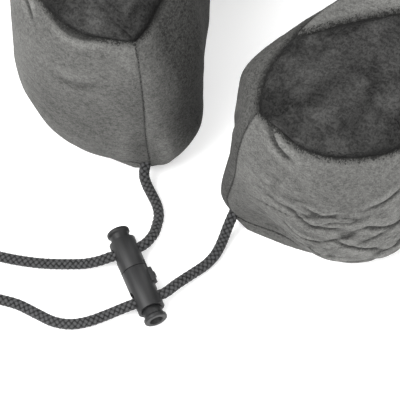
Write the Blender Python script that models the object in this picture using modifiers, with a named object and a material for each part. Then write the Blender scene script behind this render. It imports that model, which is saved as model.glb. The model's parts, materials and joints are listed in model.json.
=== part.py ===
"""U-shaped neck pillow: a memory-foam core in a liner and a zipped cover of six panels, with
a cord sewn into the tip of each arm and a two-part cord lock that joins the cords.

Metres, +Z up, standing on Z = 0. The open front, where the arms end, faces -Y, and the back
of the neck is at +Y. The origin is on the ground under the middle of the pillow.
"""
import math

import bmesh
import bpy
import numpy as np
from mathutils import Matrix, Vector

# ---- Driving dimensions, in metres ----
PILLOW_WIDTH = 0.278
PILLOW_DEPTH = 0.254
HALF_WIDTH = PILLOW_WIDTH / 2
HALF_DEPTH = PILLOW_DEPTH / 2

BASE_SEAM_HEIGHT = 0.009      # seam between the walls and the base
WAIST_HEIGHT = 0.050          # where the walls bulge most
TIP_SEAM_HEIGHT = 0.105       # seam between the walls and the top panels, at the arm tips
LOBE_SEAM_HEIGHT = 0.109      # the same seam along the side lobes
BACK_OUTER_SEAM_HEIGHT = 0.090
BACK_INNER_SEAM_HEIGHT = 0.084
BASE_INSET = 0.011            # how far the base seam lies inside the waist
TIP_BASE_INSET = 0.0025
BASE_ROUNDING = 0.010         # the base is flat this far in from its seam
LOBE_CROWN = 0.011            # how far the top panels swell above their seams
BACK_CROWN = 0.006
WALL_ROUNDNESS = 2.3          # exponent of the walls' bulge
ARM_STAGGER = 0.0036          # the left arm lies this much further back, the right one to the front

COVER_THICKNESS = 0.0016
LINER_THICKNESS = 0.0008
LAYER_GAP = 0.0006            # between cover, liner and foam
PANEL_GAP = 0.0006            # between neighbouring cover panels
MAX_CORNER_STRETCH = 1.5      # how much further than their depth the layers move in at sharp corners

# Plan outlines of the left half, from the arm tip to the middle of the back, in half widths
# and half depths. Each back stretch is a quarter ellipse, except on the inside of the neck.
WAIST_OUTER_FRONT = [
    (-0.178, -0.901), (-0.327, -0.949), (-0.471, -0.972), (-0.590, -0.937), (-0.705, -0.843),
    (-0.809, -0.677), (-0.914, -0.449), (-0.982, -0.220), (-1.0, 0.0)]
WAIST_OUTER_BACK = (1.0, 1.0)
WAIST_INNER = [
    (-0.178, -0.901), (-0.137, -0.870), (-0.0935, -0.776), (-0.0755, -0.693), (-0.086, -0.602),
    (-0.137, -0.472), (-0.205, -0.283), (-0.302, -0.094), (-0.367, 0.079), (-0.360, 0.291),
    (-0.230, 0.465), (0.0, 0.528)]
TOP_OUTER_FRONT = [
    (-0.237, -0.835), (-0.327, -0.870), (-0.410, -0.894), (-0.489, -0.886), (-0.576, -0.846),
    (-0.676, -0.772), (-0.755, -0.638), (-0.827, -0.441), (-0.867, -0.220), (-0.878, 0.0)]
TOP_OUTER_BACK = (0.878, 0.874)
TOP_INNER = [
    (-0.237, -0.835), (-0.219, -0.764), (-0.223, -0.685), (-0.227, -0.567), (-0.237, -0.441),
    (-0.288, -0.323), (-0.345, -0.173), (-0.417, -0.031), (-0.475, 0.110), (-0.453, 0.331),
    (-0.302, 0.535), (0.0, 0.622)]

# The seam that crosses each lobe starts and ends at these shares of the top outlines.
CROSS_SEAM_INNER = 0.175
CROSS_SEAM_OUTER = 0.46
ARM_COLUMNS = 8               # mesh columns from the tip to the cross seam
LOBE_COLUMNS = 5              # from the cross seam to the end of the zip
ZIP_COLUMNS = 4               # from there to the middle of the back
TOP_ROWS = 5

# Zip in the back of the outer wall. It follows the circle that fits the back of the outline.
ZIP_WINDOW_HALF_LENGTH = 0.062
ZIP_WINDOW_BOTTOM = 0.0246
ZIP_WINDOW_TOP = 0.0336
ZIP_HALF_LENGTH = 0.0585
TAPE_DEPTH = 0.0004           # tape face behind the cover's outer face
TAPE_THICKNESS = 0.0008
TAPE_OVERRUN = 0.0018         # the tapes reach this much further than the chain
CHAIN_WIDTH = 0.0034
CHAIN_THICKNESS = 0.0015
STOP_LENGTH = 0.0024
SLIDER_LENGTH = 0.009
SLIDER_WALL = 0.0011
LUG_THICKNESS = 0.0010
LUG_MARGIN = 0.0005           # of the lugs around the pin
OVERLAP_TO_JOIN = 0.0003      # how far pieces that are joined reach into each other
PULL_PIN_DIAMETER = 0.0012
PULL_EYE_WIDTH = 0.0024
PULL_EYE_WALL = 0.0006
PULL_WIDTH = 0.0046
PULL_LENGTH = 0.018
PULL_THICKNESS = 0.0010
PULL_NECK_LENGTH = 0.0024     # from the pin to where the tab widens
PULL_CORNER = 0.0012

# Cords
CORD_DIAMETER = 0.0053
CORD_POINT_SPACING = 0.0118
KNOT_LENGTH = 0.0125
KNOT_HEIGHT = 0.0100

# Cord lock: two barrels, end to end. Distances are measured from the plane where they meet.
LOCK_CENTRE = (-0.0042, -0.1623)
LOCK_HEADING = math.radians(-131)
BARREL_DIAMETER = 0.0130
GROUND_CLEARANCE = 0.0002
UPPER_BARREL_LENGTH = 0.0165
LOWER_BARREL_LENGTH = 0.0220
BORE_DIAMETER = 0.0100
UPPER_BORE_FLOOR = 0.0015
LOWER_BORE_FLOOR = 0.0061
SPIGOT_DIAMETER = 0.0090
SPIGOT_LENGTH = 0.0045
SOCKET_DEPTH = 0.0050
BARREL_GAP = 0.0003           # between the end faces of the two barrels
UPPER_CORD_OFFSET = 0.0112
LOWER_CORD_OFFSET = 0.0161
UPPER_SLOT_START = 0.0070
LOWER_SLOT_START = 0.0103
LATCH_SIDE_SLOT_START = 0.0127
SLOT_CLEARANCE = 0.00035      # around the cord, in the barrels' slots
PLUNGER_TRAVEL = 0.0024
PLUNGER_END_WALL = 0.0010
NECK_LENGTH = 0.0035
FLANGE_DIAMETER = 0.0112
FLANGE_THICKNESS = 0.0025
RIM_BEVEL = 0.0005            # on the ends of the barrels and plungers
BUTTON_HOLLOW_DIAMETER = 0.0066
BUTTON_HOLLOW_DEPTH = 0.0020
SPRING_WIRE = 0.0005
SPRING_DIAMETER = 0.0054
SPRING_TURNS = 4
SLIDING_CLEARANCE = 0.0003
CROSSING_HALF_LENGTH = 0.0085  # the cords run straight this far to each side of the lock's axis

LATCH_TILT = math.radians(12)
LATCH_WIDTH = 0.0050
LATCH_ARM_INNER_RADIUS = 0.0055
LATCH_ARM_THICKNESS = 0.0009
LATCH_PIVOT_HEIGHT = 0.0012
LATCH_ARM_TOP = 0.0020
LATCH_ARM_REACH = 0.0088
LATCH_PAD_START = 0.0020
LATCH_PAD_EASE = 0.0004       # the slope between the arm and the pad starts this much sooner
LATCH_PAD_END = 0.0110
LATCH_PAD_INNER_RADIUS = 0.00595
LATCH_PAD_HEIGHT = 0.0028     # above the barrel's surface
LATCH_EDGE_ROUNDING = 0.00025
NOTCH_INNER_RADIUS = 0.0044

ROUND_STEPS = 28
MERGE_DISTANCE = 0.000001

# Route of each cord: from the arm tip to the lock, and from the lock to its free end.
LEFT_CORD_TO_LOCK = [
    (-0.0252, -0.1112, 0.0096), (-0.0238, -0.1150, 0.0072), (-0.0205, -0.1180, 0.0044),
    (-0.0160, -0.1211, 0.0028), (-0.0115, -0.1250, 0.0027), (-0.0084, -0.1296, 0.0027),
    (-0.0069, -0.1346, 0.0032), (-0.0058, -0.1397, 0.0047)]
LEFT_CORD_TAIL = [
    (-0.0224, -0.1650, 0.0054), (-0.0275, -0.1681, 0.0037), (-0.0350, -0.1718, 0.0028),
    (-0.0460, -0.1769, 0.0027), (-0.0570, -0.1807, 0.0027), (-0.0680, -0.1834, 0.0027),
    (-0.0810, -0.1852, 0.0027), (-0.0950, -0.1854, 0.0027), (-0.1090, -0.1832, 0.0027),
    (-0.1210, -0.1788, 0.0027), (-0.1300, -0.1738, 0.0027)]
RIGHT_CORD_TO_LOCK = [
    (0.0246, -0.1172, 0.0096), (0.0246, -0.1214, 0.0070), (0.0248, -0.1258, 0.0042),
    (0.0251, -0.1310, 0.0028), (0.0249, -0.1366, 0.0027), (0.0234, -0.1424, 0.0027),
    (0.0209, -0.1480, 0.0031), (0.0185, -0.1536, 0.0042), (0.0163, -0.1594, 0.0057)]
RIGHT_CORD_TAIL = [
    (-0.0020, -0.1838, 0.0055), (-0.0066, -0.1884, 0.0039), (-0.0125, -0.1942, 0.0028),
    (-0.0190, -0.1990, 0.0027), (-0.0268, -0.2015, 0.0027), (-0.0360, -0.2015, 0.0027),
    (-0.0460, -0.2013, 0.0027), (-0.0560, -0.2031, 0.0027), (-0.0700, -0.2069, 0.0027),
    (-0.0850, -0.2091, 0.0027), (-0.1000, -0.2083, 0.0027), (-0.1130, -0.2046, 0.0027)]

# Panels of the reference skin
OUTER_WALL, INNER_WALL, LEFT_LOBE, RIGHT_LOBE, NECK_TOP, BASE, ZIP_WINDOW = range(7)


# ---- Scene and objects ----
def clear_scene():
    for leftover in list(bpy.data.objects):
        bpy.data.objects.remove(leftover, do_unlink=True)


def new_collection(name):
    collection = bpy.data.collections.new(name)
    bpy.context.scene.collection.children.link(collection)
    return collection


def new_material(name, colour, roughness, metallic=0.0):
    made = bpy.data.materials.new(name)
    made.use_nodes = True
    shader = made.node_tree.nodes["Principled BSDF"]
    shader.inputs["Base Color"].default_value = (*colour, 1.0)
    shader.inputs["Roughness"].default_value = roughness
    shader.inputs["Metallic"].default_value = metallic
    return made


def add_mesh(name, shape, material, collection, parent=None, smooth=False):
    """An object that holds the bmesh `shape`, which is freed."""
    mesh = bpy.data.meshes.new(name)
    shape.to_mesh(mesh)
    shape.free()
    if smooth:
        mesh.shade_smooth()
        mesh.set_sharp_from_angle(angle=math.radians(35))
    made = bpy.data.objects.new(name, mesh)
    if material is not None:
        mesh.materials.append(material)
    made.parent = parent
    collection.objects.link(made)
    return made


def add_empty(name, location, rotation, collection, parent=None):
    empty = bpy.data.objects.new(name, None)
    empty.location = location
    empty.rotation_euler = rotation
    empty.empty_display_size = 0.02
    empty.parent = parent
    collection.objects.link(empty)
    return empty


def cut(target, cutter, operation="DIFFERENCE"):
    """Cut `cutter` out of `target`, or join it, with an exact boolean."""
    cutter.hide_render = True
    cutter.display_type = "WIRE"
    boolean = target.modifiers.new(f"{operation.title()} {cutter.name}", "BOOLEAN")
    boolean.operation = operation
    boolean.solver = "EXACT"
    boolean.object = cutter


# ---- Smooth curves ----
def smooth_curve(points, steps=16):
    """A fine polyline on the centripetal Catmull-Rom curve through `points`."""
    points = np.array(points, dtype=float)
    ends = np.vstack([2 * points[0] - points[1], points, 2 * points[-1] - points[-2]])
    fine = []
    for a, b, c, d in zip(ends[:-3], ends[1:-2], ends[2:-1], ends[3:]):
        steps_between = [math.sqrt(np.linalg.norm(q - p)) for p, q in ((a, b), (b, c), (c, d))]
        knots = np.cumsum([0.0, *steps_between])
        for t in np.linspace(knots[1], knots[2], steps, endpoint=False):
            ab = a + (b - a) * (t - knots[0]) / (knots[1] - knots[0])
            bc = b + (c - b) * (t - knots[1]) / (knots[2] - knots[1])
            cd = c + (d - c) * (t - knots[2]) / (knots[3] - knots[2])
            first = ab + (bc - ab) * (t - knots[0]) / (knots[2] - knots[0])
            second = bc + (cd - bc) * (t - knots[1]) / (knots[3] - knots[1])
            fine.append(first + (second - first) * (t - knots[1]) / (knots[2] - knots[1]))
    return np.vstack([fine, points[-1]])


def lengths_along(line):
    return np.concatenate([[0.0], np.cumsum(np.linalg.norm(np.diff(line, axis=0), axis=1))])


def at_shares(line, shares):
    """Points at the given shares of the length of a polyline."""
    along = lengths_along(line)
    return np.column_stack([np.interp(np.array(shares) * along[-1], along, axis) for axis in line.T])


def quarter_ellipse(size, count=6):
    angles = np.linspace(0.0, math.pi / 2, count + 1)[1:]
    return [(-size[0] * math.cos(angle), size[1] * math.sin(angle)) for angle in angles]


def plan_line(points):
    return smooth_curve(np.array(points) * (HALF_WIDTH, HALF_DEPTH))


def eased(value):
    value = np.clip(value, 0.0, 1.0)
    return value * value * (3.0 - 2.0 * value)


# ---- Reference skin: the cover's outer face as one closed mesh ----
def column_shares(waist_outer):
    """Where the mesh columns lie, as shares of the outer and of the inner outlines."""
    zip_end = 1.0 - ZIP_WINDOW_HALF_LENGTH / lengths_along(waist_outer)[-1]
    arm = np.linspace(0.0, 1.0, ARM_COLUMNS + 1)
    lobe = np.linspace(0.0, 1.0, LOBE_COLUMNS + 1)[1:]
    back = np.linspace(0.0, 1.0, ZIP_COLUMNS + 1)[1:]
    outer = np.concatenate([
        arm * CROSS_SEAM_OUTER,
        CROSS_SEAM_OUTER + (zip_end - CROSS_SEAM_OUTER) * lobe,
        zip_end + (1.0 - zip_end) * back])
    behind = np.linspace(0.0, 1.0, LOBE_COLUMNS + ZIP_COLUMNS + 1)[1:]
    inner = np.concatenate([arm * CROSS_SEAM_INNER, CROSS_SEAM_INNER + (1.0 - CROSS_SEAM_INNER) * behind])
    return outer, inner


def wall_rows():
    """Heights of the mesh rows on the walls: -1 at the base seam, 0 at the waist, 1 at the top."""
    below = WAIST_HEIGHT - BASE_SEAM_HEIGHT
    window = [(height - WAIST_HEIGHT) / below for height in (ZIP_WINDOW_BOTTOM, ZIP_WINDOW_TOP)]
    return [-1.0, *window, 0.0, 0.45, 0.8, 1.0]


def seam_height(shares, lobe_share, back_height):
    """Height of the top seam: from the tip, over the lobe, down to the back."""
    rise = TIP_SEAM_HEIGHT + (LOBE_SEAM_HEIGHT - TIP_SEAM_HEIGHT) * eased(shares / lobe_share)
    return rise + (back_height - LOBE_SEAM_HEIGHT) * eased((shares - lobe_share) / (1.0 - lobe_share))


def base_seam(waist, shares, outward):
    """Plan of the base seam: the waist outline moved inwards."""
    tangents = np.gradient(waist, axis=0)
    tangents[-1] = (1.0, 0.0)
    normals = np.column_stack([-tangents[:, 1], tangents[:, 0]]) * outward
    normals /= np.linalg.norm(normals, axis=1)[:, None]
    turn = eased(shares / 0.05)[:, None]
    normals = normals * turn + np.array([0.25, -0.97]) * (1.0 - turn)
    inset = TIP_BASE_INSET + (BASE_INSET - TIP_BASE_INSET) * eased(shares / 0.12)
    return waist - normals * inset[:, None]


def wall_grid(waist, top, base, top_heights):
    """Rows of points from the base seam to the top seam."""
    rows = []
    for height in wall_rows():
        bulge = abs(height) ** WALL_ROUNDNESS
        edge = top if height > 0 else base
        plan = waist + (edge - waist) * bulge
        reach = top_heights - WAIST_HEIGHT if height > 0 else WAIST_HEIGHT - BASE_SEAM_HEIGHT
        rows.append(np.column_stack([plan, WAIST_HEIGHT + height * reach + 0.0 * plan[:, 0]]))
    return np.array(rows)


def top_grid(outer_edge, inner_edge, shares):
    """Rungs from the outer top seam to the inner one, swollen between them."""
    crown = LOBE_CROWN + (BACK_CROWN - LOBE_CROWN) * eased((shares - CROSS_SEAM_OUTER) / 0.4)
    crown = crown * eased(shares / 0.2)
    rows = []
    for across in np.linspace(0.0, 1.0, TOP_ROWS + 1):
        row = outer_edge + (inner_edge - outer_edge) * across
        row[:, 2] += crown * (4.0 * across * (1.0 - across)) ** 0.7
        rows.append(row)
    return np.array(rows)


def base_grid(outer_edge, inner_edge):
    """Rungs under the pillow: flat at Z = 0, and rounded up to the base seams."""
    spans = np.linalg.norm(inner_edge - outer_edge, axis=1)
    near = np.minimum(BASE_ROUNDING, spans * 0.3)
    rows = []
    for distance in (0 * near, near, spans / 2, spans - near, spans):
        share = distance / np.maximum(spans, MERGE_DISTANCE)
        row = outer_edge + (inner_edge - outer_edge) * share[:, None]
        to_seam = np.minimum(distance, spans - distance)
        row[:, 2] = BASE_SEAM_HEIGHT * np.clip(1.0 - to_seam / BASE_ROUNDING, 0.0, 1.0)
        rows.append(row)
    return np.array(rows)


def settle(points):
    """The arms of the soft pillow don't lie quite level: move one back and the other forward."""
    moved = points.copy()
    front = eased((-points[..., 1] / HALF_DEPTH - 0.24) / 0.47)
    moved[..., 1] -= ARM_STAGGER * np.tanh(points[..., 0] / (0.144 * HALF_WIDTH)) * front
    return moved


def half_grids():
    """Panels of the left half as (panel, grid of points)."""
    waist_outer = plan_line(WAIST_OUTER_FRONT + quarter_ellipse(WAIST_OUTER_BACK))
    waist_inner = plan_line(WAIST_INNER)
    top_outer = plan_line(TOP_OUTER_FRONT + quarter_ellipse(TOP_OUTER_BACK))
    top_inner = plan_line(TOP_INNER)
    outer, inner = column_shares(waist_outer)
    waist_outer = at_shares(waist_outer, outer)
    waist_inner = at_shares(waist_inner, inner)
    outer_wall = wall_grid(
        waist_outer, at_shares(top_outer, outer), base_seam(waist_outer, outer, 1.0),
        seam_height(outer, 0.45, BACK_OUTER_SEAM_HEIGHT))
    inner_wall = wall_grid(
        waist_inner, at_shares(top_inner, inner), base_seam(waist_inner, inner, -1.0),
        seam_height(inner, 0.30, BACK_INNER_SEAM_HEIGHT))
    inner_wall[:, 0] = outer_wall[:, 0]
    top = top_grid(outer_wall[-1], inner_wall[-1], outer)
    base = base_grid(outer_wall[0], inner_wall[0])
    first_zip_column = ARM_COLUMNS + LOBE_COLUMNS
    return [
        (OUTER_WALL, outer_wall[:2]),
        (OUTER_WALL, outer_wall[1:3, :first_zip_column + 1]),
        (ZIP_WINDOW, outer_wall[1:3, first_zip_column:]),
        (OUTER_WALL, outer_wall[2:]),
        (INNER_WALL, inner_wall),
        (LEFT_LOBE, top[:, :ARM_COLUMNS + 1]),
        (NECK_TOP, top[:, ARM_COLUMNS:]),
        (BASE, base)]


def add_grid(skin, grid, panel, panel_layer):
    rows = [[skin.verts.new(point) for point in row] for row in grid]
    for lower, upper in zip(rows[:-1], rows[1:]):
        for a, b, c, d in zip(lower[:-1], lower[1:], upper[1:], upper[:-1]):
            skin.faces.new((a, b, c, d))[panel_layer] = panel


def reference_skin():
    """The whole outer face of the cover, with each face's panel and each vertex's way inwards."""
    skin = bmesh.new()
    panel_layer = skin.faces.layers.int.new("panel")
    inward_layer = skin.verts.layers.float_vector.new("inward")
    for panel, grid in half_grids():
        add_grid(skin, settle(grid), panel, panel_layer)
        mirrored = RIGHT_LOBE if panel == LEFT_LOBE else panel
        add_grid(skin, settle(grid * (-1.0, 1.0, 1.0)), mirrored, panel_layer)
    bmesh.ops.remove_doubles(skin, verts=skin.verts[:], dist=MERGE_DISTANCE)
    bmesh.ops.recalc_face_normals(skin, faces=skin.faces[:])
    # Triangles, so that the cover, the liner and the foam all fold along the same diagonals
    bmesh.ops.triangulate(skin, faces=skin.faces[:])
    skin.normal_update()
    for vert in skin.verts:
        vert[inward_layer] = -vert.normal * min(vert.calc_shell_factor(), MAX_CORNER_STRETCH)
    return skin


def keep_panels(skin, panels):
    """A copy of the skin with only the faces of some panels."""
    kept = skin.copy()
    panel_layer = kept.faces.layers.int["panel"]
    others = [face for face in kept.faces if face[panel_layer] not in panels]
    bmesh.ops.delete(kept, geom=others, context="FACES")
    return kept


def draw_back_border(shape, distance):
    """Move the open border of a surface inwards along the surface."""
    border = [vert for vert in shape.verts if vert.is_boundary]
    moves = []
    for vert in border:
        centres = [face.calc_center_median() for face in vert.link_faces]
        towards = sum(centres, Vector()) / len(centres) - vert.co
        moves.append(towards.normalized() * distance)
    for vert, move in zip(border, moves):
        vert.co += move


def sink(verts, inward_layer, depth):
    for vert in verts:
        vert.co += vert[inward_layer] * depth


def thicken(shape, thickness):
    """Turn an open surface into a closed shell that reaches inwards from it."""
    inward_layer = shape.verts.layers.float_vector["inward"]
    outer_faces = shape.faces[:]
    grown = bmesh.ops.extrude_face_region(shape, geom=outer_faces, use_keep_orig=True)
    inner_verts = [item for item in grown["geom"] if isinstance(item, bmesh.types.BMVert)]
    sink(inner_verts, inward_layer, thickness)
    bmesh.ops.recalc_face_normals(shape, faces=shape.faces[:])
    return shape


def build_pillow(parts, materials):
    skin = reference_skin()
    cover_panels = [
        ("cover_outer_wall", (OUTER_WALL,), "velour_light"),
        ("cover_inner_wall", (INNER_WALL,), "velour_light"),
        ("cover_left_lobe_top", (LEFT_LOBE,), "velour_dark"),
        ("cover_right_lobe_top", (RIGHT_LOBE,), "velour_dark"),
        ("cover_neck_top", (NECK_TOP,), "velour_light"),
        ("cover_base", (BASE,), "velour_light")]
    for name, panels, material in cover_panels:
        panel = keep_panels(skin, panels)
        draw_back_border(panel, PANEL_GAP / 2)
        add_mesh(name, thicken(panel, COVER_THICKNESS), materials[material], parts, smooth=True)

    closed_panels = set(range(7)) - {ZIP_WINDOW}
    liner = keep_panels(skin, closed_panels)
    sink(liner.verts, liner.verts.layers.float_vector["inward"], COVER_THICKNESS + LAYER_GAP)
    add_mesh("foam_liner", thicken(liner, LINER_THICKNESS), materials["liner"], parts, smooth=True)

    foam_depth = COVER_THICKNESS + LINER_THICKNESS + 2 * LAYER_GAP
    sink(skin.verts, skin.verts.layers.float_vector["inward"], foam_depth)
    add_mesh("foam_core", skin, materials["foam"], parts, smooth=True)


# ---- Zip ----
def arc_radius():
    """Radius of the circle that fits the back of the waist outline."""
    return HALF_WIDTH ** 2 / HALF_DEPTH


def wall_radius(height):
    """Distance from the zip's axis to the outer wall's face, below the waist."""
    share = (WAIST_HEIGHT - height) / (WAIST_HEIGHT - BASE_SEAM_HEIGHT)
    return arc_radius() - BASE_INSET * share ** WALL_ROUNDNESS


def spun_bar(profile, start, end, steps):
    """A closed bar: the (radius, height) outline turned about Z, angles measured from +Y."""
    bar = bmesh.new()
    outline = [bar.verts.new((0.0, radius, height)) for radius, height in profile]
    face = bar.faces.new(outline)
    bmesh.ops.rotate(bar, verts=bar.verts[:], cent=(0, 0, 0), matrix=Matrix.Rotation(start, 3, "Z"))
    bmesh.ops.spin(
        bar, geom=[face, *face.edges, *face.verts], cent=(0, 0, 0), axis=(0, 0, 1),
        angle=end - start, steps=steps, use_duplicate=False)
    bmesh.ops.recalc_face_normals(bar, faces=bar.faces[:])
    return bar


def prism(outline, half_length, turn=Matrix.Identity(3)):
    """A closed bar: a flat (x, y) outline extruded both ways along Z, then turned."""
    bar = bmesh.new()
    face = bar.faces.new([bar.verts.new((x, y, -half_length)) for x, y in outline])
    grown = bmesh.ops.extrude_face_region(bar, geom=[face], use_keep_orig=True)
    moved = [item for item in grown["geom"] if isinstance(item, bmesh.types.BMVert)]
    bmesh.ops.translate(bar, verts=moved, vec=(0, 0, 2 * half_length))
    bmesh.ops.transform(bar, matrix=turn.to_4x4(), verts=bar.verts[:])
    bmesh.ops.recalc_face_normals(bar, faces=bar.faces[:])
    return bar


# Turns a prism's outline (x, y) into (y, z) along X, or into (x, z) along Y
ALONG_X = Matrix(((0, 0, 1), (1, 0, 0), (0, 1, 0)))
ALONG_Y = Matrix(((1, 0, 0), (0, 0, 1), (0, 1, 0)))


def circle(radius, centre=(0.0, 0.0), steps=16):
    angles = [math.tau * step / steps for step in range(steps)]
    return [(centre[0] + radius * math.cos(a), centre[1] + radius * math.sin(a)) for a in angles]


def build_zip(parts, guides, materials):
    middle = (ZIP_WINDOW_BOTTOM + ZIP_WINDOW_TOP) / 2
    centre = (0.0, HALF_DEPTH - arc_radius(), 0.0)
    arc_axis = add_empty("zip_arc_axis", centre, (0, 0, 0), guides)
    half_angle = ZIP_HALF_LENGTH / arc_radius()
    edge = PANEL_GAP / 2 + SLIDING_CLEARANCE
    tape_overrun = TAPE_OVERRUN / arc_radius()

    tapes = [
        ("zip_tape_upper", ZIP_WINDOW_TOP - edge, middle + SLIDING_CLEARANCE / 2),
        ("zip_tape_lower", middle - SLIDING_CLEARANCE / 2, ZIP_WINDOW_BOTTOM + edge)]
    for name, top, bottom in tapes:
        top_radius = wall_radius(top) - TAPE_DEPTH
        bottom_radius = wall_radius(bottom) - TAPE_DEPTH
        profile = [
            (top_radius, top), (bottom_radius, bottom),
            (bottom_radius - TAPE_THICKNESS, bottom), (top_radius - TAPE_THICKNESS, top)]
        tape = spun_bar(profile, -half_angle - tape_overrun, half_angle + tape_overrun, 10)
        add_mesh(name, tape, materials["zip_tape"], parts, arc_axis)

    chain_back = wall_radius(middle + CHAIN_WIDTH / 2) - TAPE_DEPTH + SLIDING_CLEARANCE
    chain_front = chain_back + CHAIN_THICKNESS
    top = middle + CHAIN_WIDTH / 2
    bottom = middle - CHAIN_WIDTH / 2
    profile = [(chain_back, top), (chain_front, top), (chain_front, bottom), (chain_back, bottom)]
    chain = spun_bar(profile, -half_angle, half_angle, 12)
    add_mesh("zip_chain", chain, materials["zip_teeth"], parts, arc_axis)
    stop_angle = STOP_LENGTH / arc_radius()
    stop_start = half_angle + SLIDING_CLEARANCE / arc_radius()
    for name, side in (("zip_stop_left", 1), ("zip_stop_right", -1)):
        stop = spun_bar(profile, side * stop_start, side * (stop_start + stop_angle), 1)
        add_mesh(name, stop, materials["zip_metal"], parts, arc_axis)

    rest_angle = half_angle - (SLIDER_LENGTH / 2 + SLIDING_CLEARANCE) / arc_radius()
    slider_axis = add_empty("zip_slider_axis", centre, (0, 0, -rest_angle), guides)
    inside = CHAIN_WIDTH / 2 + SLIDING_CLEARANCE
    outside = inside + SLIDER_WALL
    plate_back = chain_front + SLIDING_CLEARANCE
    plate_front = plate_back + SLIDER_WALL
    flange_back = chain_back + SLIDING_CLEARANCE
    channel = [
        (plate_front, middle + outside), (plate_front, middle - outside), (flange_back, middle - outside),
        (flange_back, middle - inside), (plate_back, middle - inside), (plate_back, middle + inside),
        (flange_back, middle + inside), (flange_back, middle + outside)]
    body = prism(channel, SLIDER_LENGTH / 2, ALONG_X)
    slider = add_mesh("zip_slider", body, materials["zip_metal"], parts, slider_axis)

    eye_radius = PULL_PIN_DIAMETER / 2 + SLIDING_CLEARANCE + PULL_EYE_WALL
    pin_at = plate_front + SLIDING_CLEARANCE + eye_radius
    lug_half = PULL_PIN_DIAMETER / 2 + LUG_MARGIN
    lug_inside = PULL_EYE_WIDTH / 2 + SLIDING_CLEARANCE
    lug_back = plate_front - OVERLAP_TO_JOIN
    lug_outline = [
        (lug_back, middle - lug_half), (pin_at + lug_half, middle - lug_half),
        (pin_at + lug_half, middle + lug_half), (lug_back, middle + lug_half)]
    for name, side in (("zip_lug_left", -1), ("zip_lug_right", 1)):
        lug = prism(lug_outline, LUG_THICKNESS / 2, ALONG_X)
        place = (side * (lug_inside + LUG_THICKNESS / 2), 0, 0)
        bmesh.ops.translate(lug, verts=lug.verts[:], vec=place)
        cut(slider, add_mesh(name, lug, None, guides, slider_axis), "UNION")
    pin = prism(circle(PULL_PIN_DIAMETER / 2, (pin_at, middle)), lug_inside + OVERLAP_TO_JOIN, ALONG_X)
    cut(slider, add_mesh("zip_pin", pin, None, guides, slider_axis), "UNION")

    pull_axis = add_empty("zip_pull_axis", (0, pin_at, middle), (0, 0, 0), guides, slider_axis)
    eye = prism(circle(eye_radius), PULL_EYE_WIDTH / 2, ALONG_X)
    pull = add_mesh("zip_pull", eye, materials["zip_metal"], parts, pull_axis)
    half_tab = [
        (PULL_EYE_WIDTH / 2, -eye_radius * 0.7), (PULL_EYE_WIDTH / 2, -PULL_NECK_LENGTH),
        (PULL_WIDTH / 2, -PULL_NECK_LENGTH - PULL_CORNER), (PULL_WIDTH * 0.4, -PULL_LENGTH + PULL_CORNER),
        (PULL_WIDTH * 0.225, -PULL_LENGTH)]
    tab_outline = half_tab + [(-x, z) for x, z in reversed(half_tab)]
    tab = add_mesh("zip_pull_tab", prism(tab_outline, PULL_THICKNESS / 2, ALONG_Y), None, guides, pull_axis)
    cut(pull, tab, "UNION")
    bore = prism(circle(PULL_PIN_DIAMETER / 2 + SLIDING_CLEARANCE), PULL_EYE_WIDTH, ALONG_X)
    cut(pull, add_mesh("zip_pull_bore", bore, None, guides, pull_axis))


# ---- Cords ----
def lock_rotation(outward):
    """Turns +Z to the way out of the upper (1) or the lower (-1) half, with +Y up."""
    heading = LOCK_HEADING if outward > 0 else LOCK_HEADING + math.pi
    return (math.pi / 2, 0.0, heading)


def lock_origin():
    return (*LOCK_CENTRE, BARREL_DIAMETER / 2 + GROUND_CLEARANCE)


def crossing(offset):
    """The two points between which a cord runs straight through the lock, right side first."""
    across = Vector((math.cos(LOCK_HEADING), math.sin(LOCK_HEADING), 0.0))
    out_of_upper = Vector((math.sin(LOCK_HEADING), -math.cos(LOCK_HEADING), 0.0))
    middle = Vector(lock_origin()) + out_of_upper * offset
    return [tuple(middle - across * CROSSING_HALF_LENGTH), tuple(middle + across * CROSSING_HALF_LENGTH)]


def evenly(line):
    """Points about CORD_POINT_SPACING apart along a fine line."""
    count = max(2, round(lengths_along(line)[-1] / CORD_POINT_SPACING))
    return at_shares(line, np.linspace(0.0, 1.0, count + 1))


def cord_route(to_lock, tail, offset):
    """From the arm tip, straight through the lock, to the free end."""
    entry, leaving = crossing(offset)
    line = smooth_curve([*to_lock, entry, leaving, *tail])
    first = int(np.argmin(np.linalg.norm(line - entry, axis=1)))
    last = int(np.argmin(np.linalg.norm(line - leaving, axis=1)))
    return np.vstack([evenly(line[:first + 1]), evenly(line[last:])])


def tube(name, points, diameter, material, collection, resolution, parent=None):
    curve = bpy.data.curves.new(name, "CURVE")
    curve.dimensions = "3D"
    curve.bevel_depth = diameter / 2
    curve.bevel_resolution = resolution
    curve.use_fill_caps = True
    spline = curve.splines.new("POLY")
    spline.points.add(len(points) - 1)
    for point, place in zip(spline.points, points):
        point.co = (*place, 1.0)
    curve.materials.append(material)
    made = bpy.data.objects.new(name, curve)
    made.parent = parent
    collection.objects.link(made)
    return made


def build_cord(side, to_lock, tail, offset, parts, materials):
    route = cord_route(to_lock, tail, offset)
    tube(f"{side}_cord", route, CORD_DIAMETER, materials["cord"], parts, 3)
    end = Vector(route[-1])
    along = (end - Vector(route[-2])).normalized()
    shape = bmesh.new()
    bmesh.ops.create_uvsphere(shape, u_segments=14, v_segments=8, radius=0.5)
    bmesh.ops.scale(shape, vec=(KNOT_LENGTH, KNOT_HEIGHT * 1.05, KNOT_HEIGHT), verts=shape.verts[:])
    knot = add_mesh(f"{side}_cord_knot", shape, materials["cord"], parts, smooth=True)
    knot.location = end + along * (KNOT_LENGTH / 2 + 2 * SLIDING_CLEARANCE)
    knot.location.z = KNOT_HEIGHT / 2 + GROUND_CLEARANCE
    knot.rotation_euler = (0, 0, math.atan2(along.y, along.x))


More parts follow.
